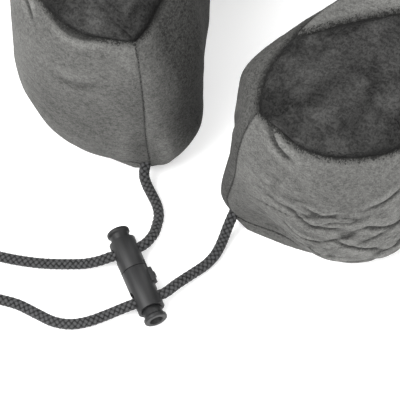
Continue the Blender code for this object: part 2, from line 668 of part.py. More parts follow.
# ---- Cord lock ----
def turned(name, profile, material, collection, parent):
    """A solid of revolution about Z: (radius, height) points, down the outer side."""
    shape = bmesh.new()
    verts = [shape.verts.new((radius, 0.0, height)) for radius, height in profile]
    for first, second in zip(verts[:-1], verts[1:]):
        shape.edges.new((first, second))
    made = add_mesh(name, shape, material, collection, parent)
    screw = made.modifiers.new("Turn", "SCREW")
    screw.axis = "Z"
    screw.steps = ROUND_STEPS
    screw.render_steps = ROUND_STEPS
    screw.use_merge_vertices = True
    screw.merge_threshold = 0.00001
    screw.use_smooth_shade = False
    return made


def slot_outline(start, end, width, steps=6):
    """An obround in the (y, z) plane, from height `start` to height `end`."""
    radius = width / 2
    outline = []
    for centre, first in ((end - radius, 0.0), (start + radius, math.pi)):
        for step in range(steps + 1):
            angle = first + math.pi * step / steps
            outline.append((radius * math.cos(angle), centre + radius * math.sin(angle)))
    return outline


def slot_cutter(name, start, end, low_x, high_x, guides, parent):
    width = CORD_DIAMETER + 2 * SLOT_CLEARANCE
    shape = prism(slot_outline(start, end, width), (high_x - low_x) / 2, ALONG_X)
    bmesh.ops.translate(shape, verts=shape.verts[:], vec=((high_x + low_x) / 2, 0, 0))
    return add_mesh(name, shape, None, guides, parent)


def box_cutter(name, low, high, guides, parent, turn):
    shape = bmesh.new()
    bmesh.ops.create_cube(shape, size=1.0)
    size = [b - a for a, b in zip(low, high)]
    middle = [(a + b) / 2 for a, b in zip(low, high)]
    bmesh.ops.scale(shape, vec=size, verts=shape.verts[:])
    bmesh.ops.translate(shape, vec=middle, verts=shape.verts[:])
    bmesh.ops.rotate(shape, cent=(0, 0, 0), matrix=turn, verts=shape.verts[:])
    return add_mesh(name, shape, None, guides, parent)


def barrel_profile(half):
    radius = BARREL_DIAMETER / 2
    bore = BORE_DIAMETER / 2
    rim = RIM_BEVEL
    if half == "upper":
        length, floor = UPPER_BARREL_LENGTH, UPPER_BORE_FLOOR
        spigot = SPIGOT_DIAMETER / 2
        inner_end = [
            (spigot, 0.0), (spigot, -SPIGOT_LENGTH + rim), (spigot - rim, -SPIGOT_LENGTH),
            (0.0, -SPIGOT_LENGTH)]
        start = 0.0
    else:
        length, floor = LOWER_BARREL_LENGTH, LOWER_BORE_FLOOR
        socket = SPIGOT_DIAMETER / 2 + SLIDING_CLEARANCE
        start = BARREL_GAP
        inner_end = [(socket, start), (socket, SOCKET_DEPTH), (0.0, SOCKET_DEPTH)]
    return [
        (0.0, floor), (bore, floor), (bore, length), (radius - rim, length), (radius, length - rim),
        (radius, start + rim / 2), (radius - rim / 2, start), *inner_end]


def plunger_profile(length, hole_start):
    flange = FLANGE_DIAMETER / 2
    hollow = BUTTON_HOLLOW_DIAMETER / 2
    radius = BORE_DIAMETER / 2 - SLIDING_CLEARANCE
    top = length + NECK_LENGTH + FLANGE_THICKNESS
    rim = RIM_BEVEL
    return [
        (0.0, top - BUTTON_HOLLOW_DEPTH), (hollow, top - BUTTON_HOLLOW_DEPTH), (hollow, top),
        (flange - rim, top), (flange, top - rim), (flange, top - FLANGE_THICKNESS + rim),
        (flange - rim, top - FLANGE_THICKNESS), (radius, top - FLANGE_THICKNESS),
        (radius, hole_start - PLUNGER_END_WALL), (0.0, hole_start - PLUNGER_END_WALL)]


def spring_points(bottom, top):
    per_turn = 10
    count = per_turn * SPRING_TURNS
    radius = SPRING_DIAMETER / 2
    points = []
    for step in range(count + 1):
        angle = math.tau * step / per_turn
        height = bottom + (top - bottom) * step / count
        points.append((radius * math.cos(angle), radius * math.sin(angle), height))
    return points


def build_lock_half(half, axis, parts, guides, materials):
    """Barrel, plunger and spring of one half, with +Z out of the half."""
    length = UPPER_BARREL_LENGTH if half == "upper" else LOWER_BARREL_LENGTH
    floor = UPPER_BORE_FLOOR if half == "upper" else LOWER_BORE_FLOOR
    cord = UPPER_CORD_OFFSET if half == "upper" else LOWER_CORD_OFFSET
    slot_start = UPPER_SLOT_START if half == "upper" else LOWER_SLOT_START
    latch_side_start = UPPER_SLOT_START if half == "upper" else LATCH_SIDE_SLOT_START
    latch_side = -1 if half == "upper" else 1
    slot_end = cord + CORD_DIAMETER / 2 + SLOT_CLEARANCE

    barrel = turned(f"{half}_lock_barrel", barrel_profile(half), materials["lock"], parts, axis)
    reach = BARREL_DIAMETER
    for side in (-1, 1):
        start = latch_side_start if side == latch_side else slot_start
        low_x, high_x = (-reach, -0.001) if side < 0 else (0.001, reach)
        name = f"{half}_slot_{'left' if side < 0 else 'right'}"
        cut(barrel, slot_cutter(name, start, slot_end, low_x, high_x, guides, axis))

    hole_start = cord - CORD_DIAMETER / 2 - SLOT_CLEARANCE
    hole_end = cord + CORD_DIAMETER / 2 + PLUNGER_TRAVEL + SLOT_CLEARANCE / 2
    plunger_axis = add_empty(f"{half}_plunger_axis", (0, 0, 0), (0, 0, 0), guides, axis)
    plunger = turned(
        f"{half}_lock_plunger", plunger_profile(length, hole_start), materials["lock"], parts, plunger_axis)
    hole = slot_cutter(f"{half}_plunger_hole", hole_start, hole_end, -reach, reach, guides, plunger_axis)
    cut(plunger, hole)

    ease = SPRING_WIRE / 2 + SLIDING_CLEARANCE
    wire = spring_points(floor + ease, hole_start - PLUNGER_END_WALL - ease)
    tube(f"{half}_lock_spring", wire, SPRING_WIRE, materials["spring"], parts, 1, axis)
    return barrel


def build_latch(axis, upper_barrel, lower_barrel, parts, guides, materials):
    """The release latch: a leaf in the upper barrel, whose pad lies in a notch of the lower one."""
    barrel_radius = BARREL_DIAMETER / 2
    latch_heading = math.pi - LATCH_TILT
    turn = Matrix.Rotation(latch_heading, 3, "Z")
    arm_outer = LATCH_ARM_INNER_RADIUS + LATCH_ARM_THICKNESS
    pad_length = LATCH_PAD_END - LATCH_PAD_START
    # The pad's rounded back: shares of its height above the barrel, and of its length
    back = [(0.3, 0.0), (0.8, 0.15), (1.0, 0.4), (1.0, 0.65), (0.8, 0.87), (0.3, 1.0)]
    outline = [
        (LATCH_ARM_INNER_RADIUS, LATCH_ARM_TOP), (arm_outer, LATCH_ARM_TOP),
        (arm_outer, LATCH_PAD_EASE - LATCH_PAD_START),
        *[(barrel_radius + rise * LATCH_PAD_HEIGHT, -LATCH_PAD_START - along * pad_length)
          for rise, along in back],
        (LATCH_PAD_INNER_RADIUS, -LATCH_PAD_END), (LATCH_PAD_INNER_RADIUS, -LATCH_ARM_REACH),
        (LATCH_ARM_INNER_RADIUS, -LATCH_ARM_REACH)]
    pivot_radius = LATCH_ARM_INNER_RADIUS + LATCH_ARM_THICKNESS / 2
    pivot = turn @ Vector((pivot_radius, 0.0, LATCH_PIVOT_HEIGHT))
    latch_axis = add_empty("release_latch_axis", pivot, (0, 0, latch_heading), guides, axis)
    shifted = [(radius - pivot_radius, height - LATCH_PIVOT_HEIGHT) for radius, height in outline]
    leaf = prism(shifted, LATCH_WIDTH / 2, ALONG_Y)
    latch = add_mesh("release_latch", leaf, materials["lock"], parts, latch_axis)
    bevel = latch.modifiers.new("Rounded edges", "BEVEL")
    bevel.width = LATCH_EDGE_ROUNDING
    bevel.segments = 1

    half_width = LATCH_WIDTH / 2 + SLIDING_CLEARANCE
    far = barrel_radius * 2
    pocket = box_cutter(
        "latch_pocket", (LATCH_ARM_INNER_RADIUS - SLIDING_CLEARANCE, -half_width, -far),
        (far, half_width, LATCH_ARM_TOP + SLIDING_CLEARANCE), guides, axis, turn)
    cut(upper_barrel, pocket)
    notch = box_cutter(
        "latch_notch", (NOTCH_INNER_RADIUS, -half_width, -LATCH_PAD_END - SLIDING_CLEARANCE),
        (far, half_width, far), guides, axis, turn)
    cut(lower_barrel, notch)


def build_lock(parts, guides, materials):
    upper_axis = add_empty("upper_lock_axis", lock_origin(), lock_rotation(1), guides)
    lower_axis = add_empty("lower_lock_axis", lock_origin(), lock_rotation(-1), guides)
    upper = build_lock_half("upper", upper_axis, parts, guides, materials)
    lower = build_lock_half("lower", lower_axis, parts, guides, materials)
    build_latch(upper_axis, upper, lower, parts, guides, materials)


def main():
    clear_scene()
    parts = new_collection("Neck pillow")
    guides = new_collection("Cutters and axes")
    materials = {
        "velour_light": new_material("Light grey velour", (0.20, 0.20, 0.185), 0.95),
        "velour_dark": new_material("Dark grey velour", (0.075, 0.075, 0.072), 0.95),
        "liner": new_material("White liner", (0.75, 0.75, 0.73), 0.9),
        "foam": new_material("Memory foam", (0.80, 0.74, 0.55), 0.85),
        "zip_tape": new_material("Zip tape", (0.05, 0.05, 0.05), 0.85),
        "zip_teeth": new_material("Zip teeth", (0.06, 0.06, 0.06), 0.5),
        "zip_metal": new_material("Zip metal", (0.35, 0.35, 0.36), 0.35, 1.0),
        "cord": new_material("Charcoal cord", (0.035, 0.035, 0.038), 0.8),
        "lock": new_material("Matte plastic", (0.06, 0.06, 0.063), 0.5),
        "spring": new_material("Spring steel", (0.6, 0.6, 0.6), 0.3, 1.0)}
    build_pillow(parts, materials)
    build_zip(parts, guides, materials)
    build_cord("left", LEFT_CORD_TO_LOCK, LEFT_CORD_TAIL, UPPER_CORD_OFFSET, parts, materials)
    build_cord("right", RIGHT_CORD_TO_LOCK, RIGHT_CORD_TAIL, -LOWER_CORD_OFFSET, parts, materials)
    build_lock(parts, guides, materials)


main()
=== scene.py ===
"""Grey velour neck pillow with a zipped cover, two drawcords and a two-part cord lock.

Every piece is modelled in metres around the frame's own nodes. The pillow's open front faces -Y.
"""
import json
import math

import bmesh
import bpy
import numpy as np
from bpy.props import FloatProperty, FloatVectorProperty, PointerProperty
from mathutils import Matrix, Vector

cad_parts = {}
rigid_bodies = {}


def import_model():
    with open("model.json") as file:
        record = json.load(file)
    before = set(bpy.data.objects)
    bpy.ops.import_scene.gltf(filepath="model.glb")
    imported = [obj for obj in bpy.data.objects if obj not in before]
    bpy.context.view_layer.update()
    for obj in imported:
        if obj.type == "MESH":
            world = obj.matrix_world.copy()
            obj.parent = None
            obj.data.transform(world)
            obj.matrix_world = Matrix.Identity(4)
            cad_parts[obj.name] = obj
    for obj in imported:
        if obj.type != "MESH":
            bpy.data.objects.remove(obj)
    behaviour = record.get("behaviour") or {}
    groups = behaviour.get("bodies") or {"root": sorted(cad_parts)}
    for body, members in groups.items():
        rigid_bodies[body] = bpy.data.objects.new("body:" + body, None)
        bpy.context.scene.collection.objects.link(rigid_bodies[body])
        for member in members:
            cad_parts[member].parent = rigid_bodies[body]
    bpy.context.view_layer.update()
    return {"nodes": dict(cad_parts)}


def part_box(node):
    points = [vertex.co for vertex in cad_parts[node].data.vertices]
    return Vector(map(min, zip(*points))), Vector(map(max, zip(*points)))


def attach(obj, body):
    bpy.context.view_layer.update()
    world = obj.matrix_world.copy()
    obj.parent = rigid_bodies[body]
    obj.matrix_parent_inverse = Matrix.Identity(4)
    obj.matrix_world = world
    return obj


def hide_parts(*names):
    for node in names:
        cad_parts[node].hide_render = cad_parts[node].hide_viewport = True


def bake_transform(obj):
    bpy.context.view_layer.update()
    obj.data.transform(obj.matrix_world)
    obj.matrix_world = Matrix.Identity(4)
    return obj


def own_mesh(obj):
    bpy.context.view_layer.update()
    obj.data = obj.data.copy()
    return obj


bl_info = {
    "name": "Velour neck pillow",
    "version": (1, 0, 0),
    "blender": (4, 5, 0),
    "location": "3D Viewport > Sidebar > Neck pillow",
    "description": "Builds a velour neck pillow with its zip, drawcords and cord lock",
    "category": "Add Mesh",
}

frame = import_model()

# ---- Sizes shared with the solids, in metres ----
HALF_WIDTH = 0.139
HALF_DEPTH = 0.127
BASE_SEAM_HEIGHT = 0.009
WAIST_HEIGHT = 0.050
TIP_SEAM_HEIGHT = 0.105
LOBE_SEAM_HEIGHT = 0.109
BACK_OUTER_SEAM_HEIGHT = 0.090
BACK_INNER_SEAM_HEIGHT = 0.084
BASE_INSET = 0.011
TIP_BASE_INSET = 0.0025
BASE_ROUNDING = 0.010
LOBE_CROWN = 0.011
BACK_CROWN = 0.006
WALL_ROUNDNESS = 2.3
ARM_STAGGER = 0.0036
CROSS_SEAM_INNER = 0.175
CROSS_SEAM_OUTER = 0.46
COVER_THICKNESS = 0.0016

# Plan outlines of the left half from the arm tip to the middle of the back, in half sizes
WAIST_OUTER_FRONT = [
    (-0.178, -0.901), (-0.327, -0.949), (-0.471, -0.972), (-0.590, -0.937), (-0.705, -0.843),
    (-0.809, -0.677), (-0.914, -0.449), (-0.982, -0.220), (-1.0, 0.0)]
WAIST_OUTER_BACK = (1.0, 1.0)
WAIST_INNER = [
    (-0.178, -0.901), (-0.137, -0.870), (-0.0935, -0.776), (-0.0755, -0.693), (-0.086, -0.602),
    (-0.137, -0.472), (-0.205, -0.283), (-0.302, -0.094), (-0.367, 0.079), (-0.360, 0.291),
    (-0.230, 0.465), (0.0, 0.528)]
TOP_OUTER_FRONT = [
    (-0.237, -0.835), (-0.327, -0.870), (-0.410, -0.894), (-0.489, -0.886), (-0.576, -0.846),
    (-0.676, -0.772), (-0.755, -0.638), (-0.827, -0.441), (-0.867, -0.220), (-0.878, 0.0)]
TOP_OUTER_BACK = (0.878, 0.874)
TOP_INNER = [
    (-0.237, -0.835), (-0.219, -0.764), (-0.223, -0.685), (-0.227, -0.567), (-0.237, -0.441),
    (-0.288, -0.323), (-0.345, -0.173), (-0.417, -0.031), (-0.475, 0.110), (-0.453, 0.331),
    (-0.302, 0.535), (0.0, 0.622)]

ZIP_WINDOW_HALF_LENGTH = 0.062
ZIP_WINDOW_BOTTOM = 0.0246
ZIP_WINDOW_TOP = 0.0336

CORD_DIAMETER = 0.0053
LOCK_CENTRE = (-0.0042, -0.1623, 0.0067)
LOCK_HEADING = math.radians(-131)
UPPER_CORD_OFFSET = 0.0112
LOWER_CORD_OFFSET = 0.0161
CROSSING_HALF_LENGTH = 0.0085
CORD_STUB = 0.0095           # from the middle of each knot to the cord's cut end
CORD_START_INSIDE = (0.0, 0.0040, 0.0016)   # from the arm tip to the cord's end in the seam

LEFT_CORD_TO_LOCK = [
    (-0.0252, -0.1112, 0.0096), (-0.0238, -0.1150, 0.0072), (-0.0205, -0.1180, 0.0044),
    (-0.0160, -0.1211, 0.0028), (-0.0115, -0.1250, 0.0027), (-0.0084, -0.1296, 0.0027),
    (-0.0069, -0.1346, 0.0032), (-0.0058, -0.1397, 0.0047)]
LEFT_CORD_TAIL = [
    (-0.0224, -0.1650, 0.0054), (-0.0275, -0.1681, 0.0037), (-0.0350, -0.1718, 0.0028),
    (-0.0460, -0.1769, 0.0027), (-0.0570, -0.1807, 0.0027), (-0.0680, -0.1834, 0.0027),
    (-0.0810, -0.1852, 0.0027), (-0.0950, -0.1854, 0.0027), (-0.1090, -0.1832, 0.0027),
    (-0.1210, -0.1788, 0.0027), (-0.1300, -0.1738, 0.0027)]
RIGHT_CORD_TO_LOCK = [
    (0.0246, -0.1172, 0.0096), (0.0246, -0.1214, 0.0070), (0.0248, -0.1258, 0.0042),
    (0.0251, -0.1310, 0.0028), (0.0249, -0.1366, 0.0027), (0.0234, -0.1424, 0.0027),
    (0.0209, -0.1480, 0.0031), (0.0185, -0.1536, 0.0042), (0.0163, -0.1594, 0.0057)]
RIGHT_CORD_TAIL = [
    (-0.0020, -0.1838, 0.0055), (-0.0066, -0.1884, 0.0039), (-0.0125, -0.1942, 0.0028),
    (-0.0190, -0.1990, 0.0027), (-0.0268, -0.2015, 0.0027), (-0.0360, -0.2015, 0.0027),
    (-0.0460, -0.2013, 0.0027), (-0.0560, -0.2031, 0.0027), (-0.0700, -0.2069, 0.0027),
    (-0.0850, -0.2091, 0.0027), (-0.1000, -0.2083, 0.0027), (-0.1130, -0.2046, 0.0027)]


# ---- What a user would change ----
def colour_choice(name, description, default):
    return FloatVectorProperty(
        name=name, description=description, subtype="COLOR", size=3, min=0, max=1,
        default=default)


class VelourSettings(bpy.types.PropertyGroup):
    wall_colour: colour_choice(
        "Wall velour", "Colour of the light grey panels", (0.104, 0.1035, 0.0990))
    top_colour: colour_choice(
        "Top velour", "Colour of the darker side lobes on top", (0.036, 0.0357, 0.0347))
    seam_depth: FloatProperty(
        name="Seam depth", description="How far the seams pull in", subtype="DISTANCE",
        unit="LENGTH", min=0, max=0.003, default=0.0023)
    wrinkle_height: FloatProperty(
        name="Wrinkle height", description="Scales every fold and wrinkle of the cover",
        subtype="FACTOR", min=0, max=2, default=1.0)


class TrimSettings(bpy.types.PropertyGroup):
    cord_colour: colour_choice(
        "Cord", "Colour of the braided cords", (0.0165, 0.0166, 0.0171))
    plastic_colour: colour_choice(
        "Lock plastic", "Colour of the cord lock", (0.0085, 0.0086, 0.0090))
    metal_colour: colour_choice(
        "Zip metal", "Colour of the slider and its pull", (0.13, 0.13, 0.135))


# ---- Shader expressions ----
class Socket:
    """An output socket that takes part in Python arithmetic by adding Math nodes."""

    def __init__(self, nodes, socket):
        self.nodes = nodes
        self.socket = socket

    def _math(self, operation, first, second=None, clamp=False):
        values = {0: first} if second is None else {0: first, 1: second}
        return self.nodes.add(
            "ShaderNodeMath", {"operation": operation, "use_clamp": clamp}, values)

    def __add__(self, other):
        return self._math("ADD", self, other)

    __radd__ = __add__

    def __mul__(self, other):
        return self._math("MULTIPLY", self, other)

    __rmul__ = __mul__

    def __sub__(self, other):
        return self._math("SUBTRACT", self, other)

    def clamped(self):
        return self._math("ADD", self, 0.0, clamp=True)

    def sine(self):
        return self._math("SINE", self)

    def size(self):
        return self._math("ABSOLUTE", self)


class Finish:
    """A material under construction: its nodes are added through one method."""

    def __init__(self, name, **constants):
        self.material = bpy.data.materials.new(name)
        self.material.use_nodes = True
        self.tree = self.material.node_tree
        self.shader = self.tree.nodes["Principled BSDF"]
        for socket, value in constants.items():
            self.shader.inputs[socket.replace("_", " ")].default_value = value

    def add(self, kind, settings, values, output=0):
        node = self.tree.nodes.new(kind)
        for setting, value in settings.items():
            setattr(node, setting, value)
        for key, value in values.items():
            self.feed(node.inputs[key], value)
        return Socket(self, node.outputs[output])

    def feed(self, socket, value):
        if isinstance(value, Socket):
            self.tree.links.new(value.socket, socket)
        else:
            socket.default_value = value

    def place(self):
        return self.add("ShaderNodeTexCoord", {}, {}, "Object")

    def along_cloth(self):
        return self.add("ShaderNodeUVMap", {"uv_map": "Cloth"}, {})

    def attribute(self, name):
        return self.add("ShaderNodeAttribute", {"attribute_name": name}, {}, "Fac")

    def scaled(self, vector, scale):
        return self.add("ShaderNodeMapping", {}, {"Vector": vector, "Scale": scale})

    def split(self, vector):
        node = self.tree.nodes.new("ShaderNodeSeparateXYZ")
        self.tree.links.new(vector.socket, node.inputs[0])
        return [Socket(self, output) for output in node.outputs]

    def noise(self, vector, scale, detail=2.0, roughness=0.5, distortion=0.0):
        return self.add("ShaderNodeTexNoise", {}, {
            "Vector": vector, "Scale": scale, "Detail": detail, "Roughness": roughness,
            "Distortion": distortion})

    def blend_colours(self, share, first, second):
        node = self.tree.nodes.new("ShaderNodeMix")
        node.data_type = "RGBA"
        colours = [socket for socket in node.inputs if socket.type == "RGBA"]
        self.feed(node.inputs[0], share)
        for socket, value in zip(colours, (first, second)):
            self.feed(socket, value if isinstance(value, Socket) else (*value[:3], 1.0))
        output = [socket for socket in node.outputs if socket.type == "RGBA"][0]
        return Socket(self, output)

    def bump(self, height, distance, strength=1.0):
        made = self.add("ShaderNodeBump", {}, {
            "Height": height, "Distance": distance, "Strength": strength})
        self.feed(self.shader.inputs["Normal"], made)

    def set(self, socket, value):
        self.feed(self.shader.inputs[socket], value)


def shade(colour, factor):
    return tuple(min(1.0, channel * factor) for channel in colour[:3])


def velour(name, colour, pile_size, contrast):
    """Short pile that lies in patches, lighter where brushed up, with painted shade down in the
    seams and in folds and hollows.
    """
    finish = Finish(
        name, Roughness=0.92, Specular_IOR_Level=0.12, Sheen_Weight=0.10, Sheen_Roughness=0.40)
    finish.shader.inputs["Sheen Tint"].default_value = (*shade(colour, 2.4), 1.0)
    place = finish.place()
    streaks = finish.noise(finish.scaled(place, (1.0, 0.50, 0.60)), 1.0 / pile_size, 3.0, 0.62)
    tufts = finish.noise(place, 0.55 / pile_size, 2.0, 0.6, 0.6)
    clumps = finish.noise(
        finish.scaled(place, (0.60, 1.0, 1.0)), 0.34 / pile_size, 3.0, 0.68, 0.7)
    patches = finish.noise(place, 34.0, 3.0, 0.55, 0.8)
    smudges = finish.noise(place, 13.0, 2.0, 0.5, 0.4)
    nap_and_shade = finish.attribute("nap_and_shade")
    seam_shade = finish.attribute("seam_shade")
    # The nap values carry the pile's random lie and painted shade from folds, hollows and the gap
    # between the arms
    lie_and_shade = nap_and_shade + (patches - 0.5) * 1.2 + (smudges - 0.5) * 0.9
    pile = (streaks - 0.5) * 1.1 + (tufts - 0.5) * 0.9 + (clumps - 0.5) * 1.5
    lying_and_shade = (0.5 + lie_and_shade * (0.50 * contrast)).clamped()
    hollows = finish.blend_colours(lying_and_shade, shade(colour, 0.14), shade(colour, 0.90))
    tips = finish.blend_colours(lying_and_shade, shade(colour, 0.58), shade(colour, 1.85))
    fabric = finish.blend_colours((0.5 + pile * (1.7 * contrast)).clamped(), hollows, tips)
    # Painted shade down in the seams, ragged at its edges where the pile breaks it up
    ragged = ((clumps - 0.5) * 2.0 + (streaks - 0.5) * 2.4) * (seam_shade * 2.5).clamped()
    depth = ((seam_shade - 0.40 + ragged) * 2.2).clamped() * 0.93
    finish.set("Base Color", finish.blend_colours(depth, fabric, shade(colour, 0.10)))
    finish.bump(streaks * 0.5 + tufts * 0.6 + clumps * 0.9, pile_size * 0.9, 0.9)
    return finish.material


def braided_cord(name, colour):
    finish = Finish(name, Roughness=0.75, Specular_IOR_Level=0.25, Sheen_Weight=0.08)
    relief = finish.attribute("relief")
    fibres = finish.noise(finish.along_cloth(), 2600.0, 2.0, 0.6)
    uneven = finish.noise(finish.place(), 420.0, 2.0, 0.6)
    # Darker in the braid's pits and paler on its strands: painted shade and painted highlight,
    # mixed with fibre noise
    share = ((relief - 0.48) * 2.1 + (fibres - 0.5) * 1.6 + (uneven - 0.5) * 0.9).clamped()
    finish.set("Base Color", finish.blend_colours(share, shade(colour, 0.12), shade(colour, 3.6)))
    finish.bump(fibres, 0.00012, 0.6)
    return finish.material


def floor_finish(name):
    finish = Finish(name, Roughness=0.9, Specular_IOR_Level=0.1)
    grain = finish.noise(finish.place(), 60.0, 2.0)
    finish.set("Base Color", finish.blend_colours(grain, (0.93, 0.93, 0.93), (0.95, 0.95, 0.95)))
    finish.shader.inputs["Emission Color"].default_value = (1.0, 1.0, 1.0, 1.0)
    finish.shader.inputs["Emission Strength"].default_value = 0.30
    return finish.material


# ---- Curves and grids ----
def smooth_curve(points, steps=16):
    """A fine polyline on the centripetal Catmull-Rom curve through `points`."""
    points = np.array(points, dtype=float)
    ends = np.vstack([2 * points[0] - points[1], points, 2 * points[-1] - points[-2]])
    fine = []
    for a, b, c, d in zip(ends[:-3], ends[1:-2], ends[2:-1], ends[3:]):
        spans = [math.sqrt(np.linalg.norm(q - p)) for p, q in ((a, b), (b, c), (c, d))]
        knots = np.cumsum([0.0, *spans])
        for t in np.linspace(knots[1], knots[2], steps, endpoint=False):
            ab = a + (b - a) * (t - knots[0]) / (knots[1] - knots[0])
            bc = b + (c - b) * (t - knots[1]) / (knots[2] - knots[1])
            cd = c + (d - c) * (t - knots[2]) / (knots[3] - knots[2])
            first = ab + (bc - ab) * (t - knots[0]) / (knots[2] - knots[0])
            second = bc + (cd - bc) * (t - knots[1]) / (knots[3] - knots[1])
            fine.append(first + (second - first) * (t - knots[1]) / (knots[2] - knots[1]))
    return np.vstack([fine, points[-1]])


def lengths_along(line):
    return np.concatenate([[0.0], np.cumsum(np.linalg.norm(np.diff(line, axis=0), axis=1))])


def at_shares(line, shares):
    along = lengths_along(line)
    places = np.array(shares) * along[-1]
    return np.column_stack([np.interp(places, along, axis) for axis in line.T])


def quarter_ellipse(size, count=6):
    angles = np.linspace(0.0, math.pi / 2, count + 1)[1:]
    return [(-size[0] * math.cos(angle), size[1] * math.sin(angle)) for angle in angles]


def plan_line(points):
    return smooth_curve(np.array(points) * (HALF_WIDTH, HALF_DEPTH))


def eased(value):
    value = np.clip(value, 0.0, 1.0)
    return value * value * (3.0 - 2.0 * value)


def spaced(length, fine, coarse, growth=1.22):
    """Shares from 0 to 1 with steps that grow from `fine` at both ends to `coarse` between."""
    steps, step = [], fine
    while 2 * sum(steps) + 2 * step < length * 0.9 and step < coarse:
        steps.append(step)
        step *= growth
    middle = length - 2 * sum(steps)
    count = max(1, math.ceil(middle / coarse))
    every = steps + [middle / count] * count + steps[::-1]
    return np.concatenate([[0.0], np.cumsum(every)]) / length


def arm_shares(length, fine, coarse, change):
    """Shares along half the pillow: close columns at the arm, wider ones round the back."""
    places, step, at = [0.0], fine * 0.5, 0.0
    while at + step < length - coarse * 0.6:
        at += step
        places.append(at)
        target = fine if at < change * length else coarse
        step = step + (target - step) * 0.12
    return np.array(places + [length]) / length


def snapped(values, *marks):
    """The values with the nearest one to each mark moved onto it."""
    values = np.array(values)
    for mark in marks:
        values[int(np.argmin(np.abs(values - mark)))] = mark
    return values


def seam_height(shares, lobe_share, back_height):
    rise = TIP_SEAM_HEIGHT + (LOBE_SEAM_HEIGHT - TIP_SEAM_HEIGHT) * eased(shares / lobe_share)
    return rise + (back_height - LOBE_SEAM_HEIGHT) * eased((shares - lobe_share) / (1 - lobe_share))


TIP_WAY = (0.25, -0.97)      # the way out of the left arm's tip; the right arm's is its mirror


def base_seam(waist, shares, outward):
    tangents = np.gradient(waist, axis=0)
    tangents[-1] = (1.0, 0.0)
    normals = np.column_stack([-tangents[:, 1], tangents[:, 0]]) * outward
    normals /= np.linalg.norm(normals, axis=1)[:, None]
    turn = eased(shares / 0.05)[:, None]
    normals = normals * turn + np.array(TIP_WAY) * (1.0 - turn)
    inset = TIP_BASE_INSET + (BASE_INSET - TIP_BASE_INSET) * eased(shares / 0.12)
    return waist - normals * inset[:, None]


# Where the soft pillow stands out from its pattern or sinks in: (middle, reach, how far it moves)
BULGES = [
    ((-0.0530, -0.1180, 0.0140), 0.022, (-0.0015, -0.0030, -0.0040)),
    ((-0.0155, -0.0960, 0.0180), 0.018, (0.0055, -0.0010, -0.0030)),
    ((0.0285, -0.0810, 0.0930), 0.020, (-0.0085, -0.0040, -0.0010)),
    ((0.0130, -0.0940, 0.0550), 0.022, (0.0034, 0.0017, 0.0)),
    ((0.0240, -0.1140, 0.0250), 0.018, (-0.0034, -0.0020, -0.0010)),
    ((0.0455, -0.1230, 0.0200), 0.017, (0.0005, 0.0056, 0.0)),
    ((0.1003, -0.1036, 0.0200), 0.026, (0.0010, -0.0020, -0.0036)),
    ((0.0098, -0.0570, 0.0550), 0.022, (-0.0035, -0.0018, 0.0)),
    ((0.0768, -0.0998, 0.0900), 0.028, (0.0005, -0.0020, -0.0018))]


def settle(points):
    """How the soft pillow lies: one arm further forward, fuller or hollower here and there."""
    moved = points.copy()
    front = eased((-points[..., 1] / HALF_DEPTH - 0.24) / 0.47)
    moved[..., 1] -= ARM_STAGGER * np.tanh(points[..., 0] / (0.144 * HALF_WIDTH)) * front
    bulge = np.zeros(moved.shape)
    for middle, reach, move in BULGES:
        away = np.sum((moved - middle) ** 2, axis=-1) / reach ** 2
        bulge += np.exp(-away)[..., None] * move
    bulge[..., 2] *= np.clip(moved[..., 2] / 0.015, 0.0, 1.0)
    return moved + bulge


def wall_half(inner, columns, rows):
    """Grid of one wall of the left half: rows from the base seam up, columns from the tip."""
    if inner:
        waist, top = plan_line(WAIST_INNER), plan_line(TOP_INNER)
        heights = seam_height(columns, 0.30, BACK_INNER_SEAM_HEIGHT)
    else:
        waist = plan_line(WAIST_OUTER_FRONT + quarter_ellipse(WAIST_OUTER_BACK))
        top = plan_line(TOP_OUTER_FRONT + quarter_ellipse(TOP_OUTER_BACK))
        heights = seam_height(columns, 0.45, BACK_OUTER_SEAM_HEIGHT)
    waist, top = at_shares(waist, columns), at_shares(top, columns)
    base = base_seam(waist, columns, -1.0 if inner else 1.0)
    grid = []
    for height in rows:
        edge = top if height > 0 else base
        plan = waist + (edge - waist) * abs(height) ** WALL_ROUNDNESS
        reach = heights - WAIST_HEIGHT if height > 0 else WAIST_HEIGHT - BASE_SEAM_HEIGHT
        grid.append(np.column_stack([plan, WAIST_HEIGHT + height * reach + 0.0 * plan[:, 0]]))
    return np.array(grid)


def both_halves(grid):
    """The left half's columns, then the right half's, from tip to tip."""
    mirrored = grid[:, ::-1][:, 1:] * (-1.0, 1.0, 1.0)
    return settle(np.concatenate([grid, mirrored], axis=1))


def grid_normals(grid):
    """Unit normals of a grid, by its neighbours along both of its directions."""
    across = np.gradient(grid, axis=1)
    up = np.gradient(grid, axis=0)
    normals = np.cross(across, up)
    sizes = np.linalg.norm(normals, axis=2, keepdims=True)
    return normals / np.maximum(sizes, 1e-12)


def distances(grid):
    """Metres along the columns and up the rows of a grid."""
    along = np.zeros(grid.shape[:2])
    along[:, 1:] = np.cumsum(np.linalg.norm(np.diff(grid, axis=1), axis=2), axis=1)
    up = np.zeros(grid.shape[:2])
    up[1:] = np.cumsum(np.linalg.norm(np.diff(grid, axis=0), axis=2), axis=0)
    return along, up


def lattice_noise(points, size, seed):
    """Smooth value noise from -1 to 1 at every point, the same on every run."""
    cells = points / size + 37.0
    base = np.floor(cells).astype(np.int64)
    share = eased(cells - base)
    total = np.zeros(points.shape[:-1])
    for corner in range(8):
        offset = np.array([corner & 1, corner >> 1 & 1, corner >> 2 & 1])
        key = (base + offset) @ np.array([73856093, 19349663, 83492791]) + seed * 2654435761
        key = (key ^ (key >> 13)) * 1274126177 & 0x7FFFFFFF
        key = (key ^ (key >> 11)) & 0xFFFF
        weight = np.prod(np.where(offset == 1, share, 1.0 - share), axis=-1)
        total += weight * (key / 32767.5 - 1.0)
    return total


